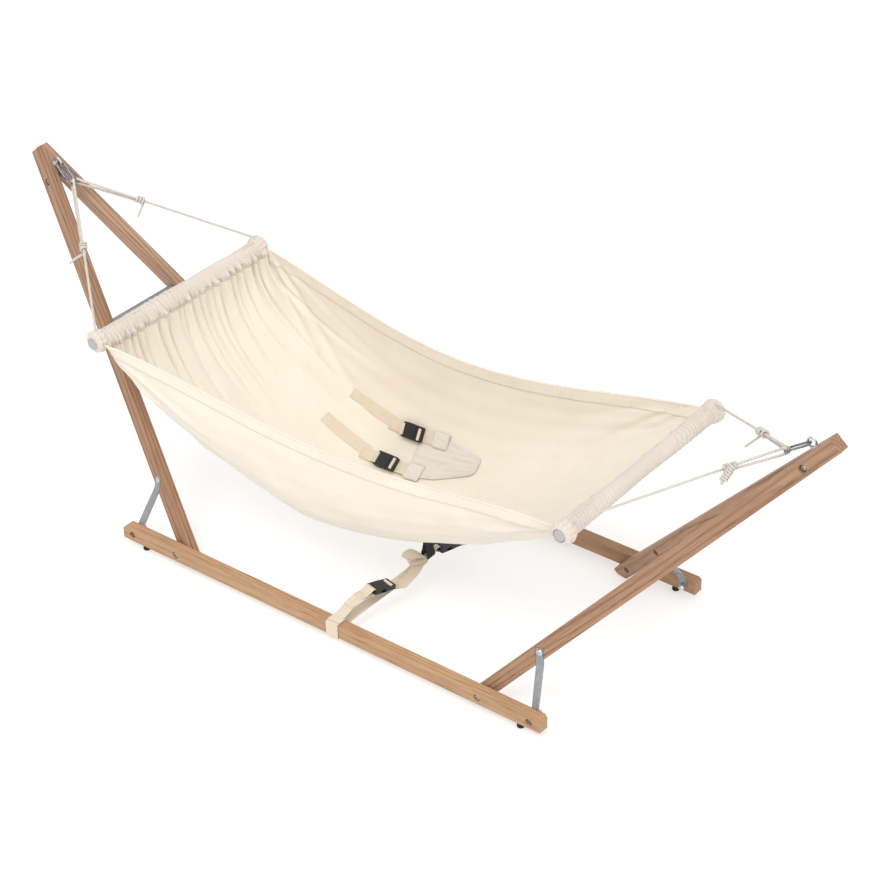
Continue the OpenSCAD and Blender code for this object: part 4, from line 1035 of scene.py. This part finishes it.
def box_stitches(name, place, x0, x1, z, body, bed_least=None):
    """A box of stitches in a buckle's frame."""
    t = linspace(0, 1, 8)[:, None]
    corners = array([[x0, -BOX, z], [x0, BOX, z], [x1, BOX, z], [x1, -BOX, z], [x0, -BOX, z]])
    line = in_frame(place, concatenate([a + (b - a) * t for a, b in zip(corners, corners[1:])]))
    if bed_least:
        line = over_bed(line, bed_least)
    stitch_row(name, line, np.repeat(array(place)[None, :3, 2], len(line), 0), body=body)


# Half the width of a stitched box, and how high a strap's middle lies over the cloth
BOX, LAID = 7.5, 1.6
for tag, f0, w0 in BUCKLES:
    place = buckle_on_bed(f0, w0)
    fs = linspace(f0 - 0.165, f0 - 0.058, 9)
    back = over_bed(in_frame(place, [[-42, 0, 0.2], [-50, 0, -1.4], [-60, 0, -1.8]]), 3.2)
    points = concatenate([on_cloth(fs, w0, LAID), in_frame(place, SOCKET_IN), back])
    level = unit(on_cloth(fs, w0 + 0.02, LAID) - on_cloth(fs, w0 - 0.02, LAID))
    sides = concatenate([level, sides_of(place, len(points) - 9)])
    strap = strap_piece("shoulder_strap_" + tag, points, sides, "bed", thick=1.3)
    if tag == "a":
        # One CAD node holds both straps
        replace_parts(strap, "harness_straps")
    box_stitches("strap_seam_" + tag, place, -57, -45, -6, "bed", 4.1)
    t = linspace(0, 1, 9)
    around_f = f0 - 0.163 + 0.018 * concatenate([0 * t, t, 0 * t + 1, 1 - t])
    around_w = w0 + BOX / W_MM * concatenate([1 - 2 * t, 0 * t - 1, 2 * t - 1, 0 * t + 1])
    line = on_cloth(around_f, around_w, 2.4)
    stitch_row("strap_end_seam_" + tag, line, unit(line - on_cloth(around_f, around_w)))
    tab = over_bed(in_frame(place, [[37.5, 0, 0.2], [32, 0, 0.2], [25, 0, 0.1]]), 5.6)
    plug_tab("plug_tab_" + tag, place, tab, "plug_" + tag)
print("harness straps made")

# %% [markdown]
# ## The tether
# Under the bed a strap ties it to both floor rails, so that it can't swing far. A band is
# sewn round each rail, each side has a buckle, and both straps meet in a black loop sewn to
# the bottom of the bed. A strap that crosses from the stand to the bed is left on neither body.

# %% Places on the tether
RAIL_IN, RAIL_MID, RAIL_Z, TETHER_X, LOOP_X = 202.0, 212.0, 24.5, 26.0, 44.0
# The CAD's own ends of each side's straight stretch, which carries the buckle
near_a, near_b = array([37.0, -140, 58]), array([51.0, -82, 47])
far_a, far_b = array([57.0, 62, 46]), array([47.0, 20, 50])
near_dir, far_dir = unit(near_b - near_a), unit(far_a - far_b)
near_place = buckle_on_strap(near_a + near_dir * 29, near_dir)
far_place = buckle_on_strap(far_a - far_dir * 16, far_dir)
side_near, side_far = sides_of(near_place, 1)[0], sides_of(far_place, 1)[0]
THROUGH_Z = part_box("tether_stub")[0][2] / MM + 0.75
loop_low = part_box("tether_loop")[0][2] / MM
X_SIDE = array([-1.0, 0, 0])
print("the loop's lowest point, mm:", round(loop_low))


# %% Bands round the rails
def mixed_sides(first, first_count, second=X_SIDE, second_count=0):
    return concatenate([np.repeat([first], first_count, 0), np.repeat([second], second_count, 0)])


def rail_band(name, sign):
    """Webbing wound once round the rail: a rounded rectangle whose layers overlap on top."""
    half_y, half_z, r = 11.0, 13.5, 2.2
    corner = radians(linspace(0, 90, 5))
    path = []
    for cy, cz, turn in ((half_y - r, half_z - r, 0), (-half_y + r, half_z - r, 90),
                         (-half_y + r, -half_z + r, 180), (half_y - r, -half_z + r, 270)):
        a = corner + radians(turn)
        path += list(zip(cy + r * cos(a), cz + r * sin(a)))
    path = array(path)
    over = [[half_y * 0.4, half_z + 1.3], [-half_y * 0.5, half_z + 1.35]]
    path = concatenate([path[2:], path[:5], over])
    points = xyz(TETHER_X, sign * (RAIL_MID - path[:, 0]), RAIL_Z + path[:, 1])
    return strap_piece(name, points, mixed_sides(-X_SIDE, len(points)), "stand", STRAP_W - 0.5, step=1.2)


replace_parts(rail_band("rail_band_near", -1), "tether_bands")
rail_band("rail_band_far", 1)
print("bands made")


# %% Near side of the tether
incoming = array([[TETHER_X, -RAIL_MID - 7, 39.5], [TETHER_X, -RAIL_MID + 2, 39.6],
                  [TETHER_X, -RAIL_IN, 40.8], [TETHER_X + 2, -184, 47.5], [TETHER_X + 5, -166, 54.5]])
up = array(near_place)[:3, 2]
points = concatenate([incoming, in_frame(near_place, SOCKET_IN), in_frame(near_place, [[-41, 0, 0.6]]),
                      incoming[:2:-1] + up * 1.6])
sides = mixed_sides(X_SIDE, 3, side_near, len(points) - 3)
strap_left = strap_piece("tether_strap_near", points, sides, "stand", thick=1.3)
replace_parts(strap_left, "tether_strap_left")
box_stitches("tether_seam_near", near_place, -56, -44, 1.0, "stand")
tab = in_frame(near_place, [[24, 0, -0.9], [21, 0, -0.6]])
plug_tab("tether_tab_near", near_place, tab, "plug_left")
start = in_frame(near_place, [[16.5, 0, -2.7], [28, 0, -3.9], [38, 0, -5.2]])
points = concatenate([start, [[53, -50, THROUGH_Z - 3.6], [LOOP_X + 3, -28, THROUGH_Z - 0.5],
                              [LOOP_X, -16, THROUGH_Z], [LOOP_X, -10.9, THROUGH_Z]]])
link = strap_piece("tether_link_near", points, mixed_sides(side_near, 4, X_SIDE, 3))
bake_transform(link)
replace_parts(link, "tether_link_left")
print("near side of the tether made")

# %% [markdown]
# The webbing goes round the rail and runs back to the loop as a second, plain layer under the
# buckled one. Its spare end is folded into a slack bow beside the loop.

# %% Under layer and slack bow
points = array([[TETHER_X, -200.6, 15], [TETHER_X + 0.5, -199.0, 22], [TETHER_X + 3, -172, 27],
                [TETHER_X + 9, -112, 32.5], [TETHER_X + 15, -52, 37], [LOOP_X, -26, 43],
                [LOOP_X, -12, 45.6]])
under = strap_piece("tether_under_layer", points, mixed_sides(X_SIDE, 7))
tuple(points[1] * MM)
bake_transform(under)
bow = array([[0, -12, 1.5], [-1, -21, 3], [-3, -33, 7], [-5, -43, 12], [-6, -47, 15.5], [-6, -44, 19],
             [-5, -34, 18.5], [-3, -24, 14], [-1, -14, 7]]) + [LOOP_X, 0, THROUGH_Z]
tilted = unit(array([-0.75, 0, 0.65]))
tilt = array([0, 0.3, 0.8, 1, 1, 1, 0.9, 0.6, 0.3])[:, None]
strap_piece("tether_bow", bow, unit(X_SIDE * (1 - tilt) + tilted * tilt), "bed", THROUGH_W - 1)
print("under layer made")

# %% Far side of the tether
points = concatenate([[[LOOP_X, -10.4, THROUGH_Z], [LOOP_X, 4, THROUGH_Z], [LOOP_X, 12, THROUGH_Z + 0.4]],
                      in_frame(far_place, SOCKET_IN[2:])])
sides = mixed_sides(X_SIDE, 3, side_far, len(points) - 3)
stub = strap_piece("tether_stub_strap", points, sides, "bed", 10.0)
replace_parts(stub, "tether_stub")
tab = in_frame(far_place, [[30, 0, -1.0], [23, 0, -0.7]])
plug_tab("tether_tab_far", far_place, tab, "plug_right")
start = in_frame(far_place, [[16.5, 0, -2.4], [28, 0, -3.0], [38, 0, -4.2]])
points = concatenate([start, [[50, 120, 34], [36, 165, 38], [TETHER_X, RAIL_IN - 12, 40],
                              [TETHER_X, RAIL_MID - 8, 39.8], [TETHER_X, RAIL_MID + 7, 39.5]]])
strap_right = strap_piece("tether_strap_far", points, mixed_sides(side_far, 4, X_SIDE, 4), thick=1.3)
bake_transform(strap_right)
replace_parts(strap_right, "tether_strap_right")
print("far side of the tether made")

# %% The black loop
half_loop = array([[-5.5, 61.3], [-1.6, 59], [-0.95, 52], [-0.95, 34], [-3.4, 20], [-6.6, 9],
                   [-7.5, 4.5], [-5.8, 1.5], [0, 0.85]])
shape = concatenate([half_loop, half_loop[-2::-1] * [-1, 1]])
points = xyz(LOOP_X + shape[:, 0], 0, loop_low + shape[:, 1])
loop = strap_piece("tether_loop_tape", points, np.repeat([[0, 1.0, 0]], len(points), 0), "bed",
                   20.0, 1.6, 1.2, BLACK_TAPE)
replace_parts(loop, "tether_loop")
print("loop made")

# %% [markdown]
# ## The floor, the light and the camera
# The photograph is a cut-out on white, so the floor is plain and pale and the light is soft
# and comes from all sides, a little more from the upper left. The camera stands where the
# photograph's did, with a long lens.

# %% Stage
world = bpy.data.worlds.new("soft_room")
bpy.context.scene.world = world
world.use_nodes = True
background = world.node_tree.nodes["Background"].inputs
background["Color"].default_value, background["Strength"].default_value = (1, 1, 1, 1), 0.87
bpy.context.scene.view_settings.view_transform = "Standard"

floor_mesh = bpy.data.meshes.new("floor")
floor_mesh.from_pydata([(-30, -30, 0), (30, -30, 0), (30, 30, 0), (-30, 30, 0)], [], [(0, 1, 2, 3)])
pale = Finish("pale_floor", Base_Color=(0.5, 0.5, 0.5, 1), Roughness=0.9,
              Emission_Color=(1, 1, 1, 1), Emission_Strength=0.52)
floor_mesh.materials.append(pale.material)
add("floor", floor_mesh)


def soft_sun(name, toward, angle, power):
    """A wide sun: every part of the floor gets the same light, and shadows are soft."""
    lamp = bpy.data.lights.new(name, "SUN")
    lamp.energy, lamp.angle = power, radians(angle)
    add(name, lamp).rotation_euler = Vector(toward).to_track_quat("-Z", "Y").to_euler()


soft_sun("key", (-0.1, 0.6, -1.05), 30, 1.12)
soft_sun("fill", (-0.85, 0.3, -0.5), 60, 0.66)
print("stage ready")

# %% Camera
# Fitted so that the stand's corners fall where they do in the photograph
azimuth, elevation, roll = radians([37.67, 32.49, -1.02])
away = Vector((sin(azimuth) * cos(elevation), -cos(azimuth) * cos(elevation), sin(elevation)))
TARGET, DISTANCE = Vector((0.1658, 0, 0.3862)), 3.7304
camera = add("camera", bpy.data.cameras.new("camera"))
camera.location = TARGET + away * DISTANCE
looking = (-away).to_track_quat("-Z", "Y") @ Matrix.Rotation(roll, 3, "Z").to_quaternion()
camera.rotation_euler = looking.to_euler()
camera.data.sensor_width, camera.data.lens = 36, 99.86
camera.data.shift_x, camera.data.shift_y = -0.0505, -0.0424
bpy.context.scene.camera = camera
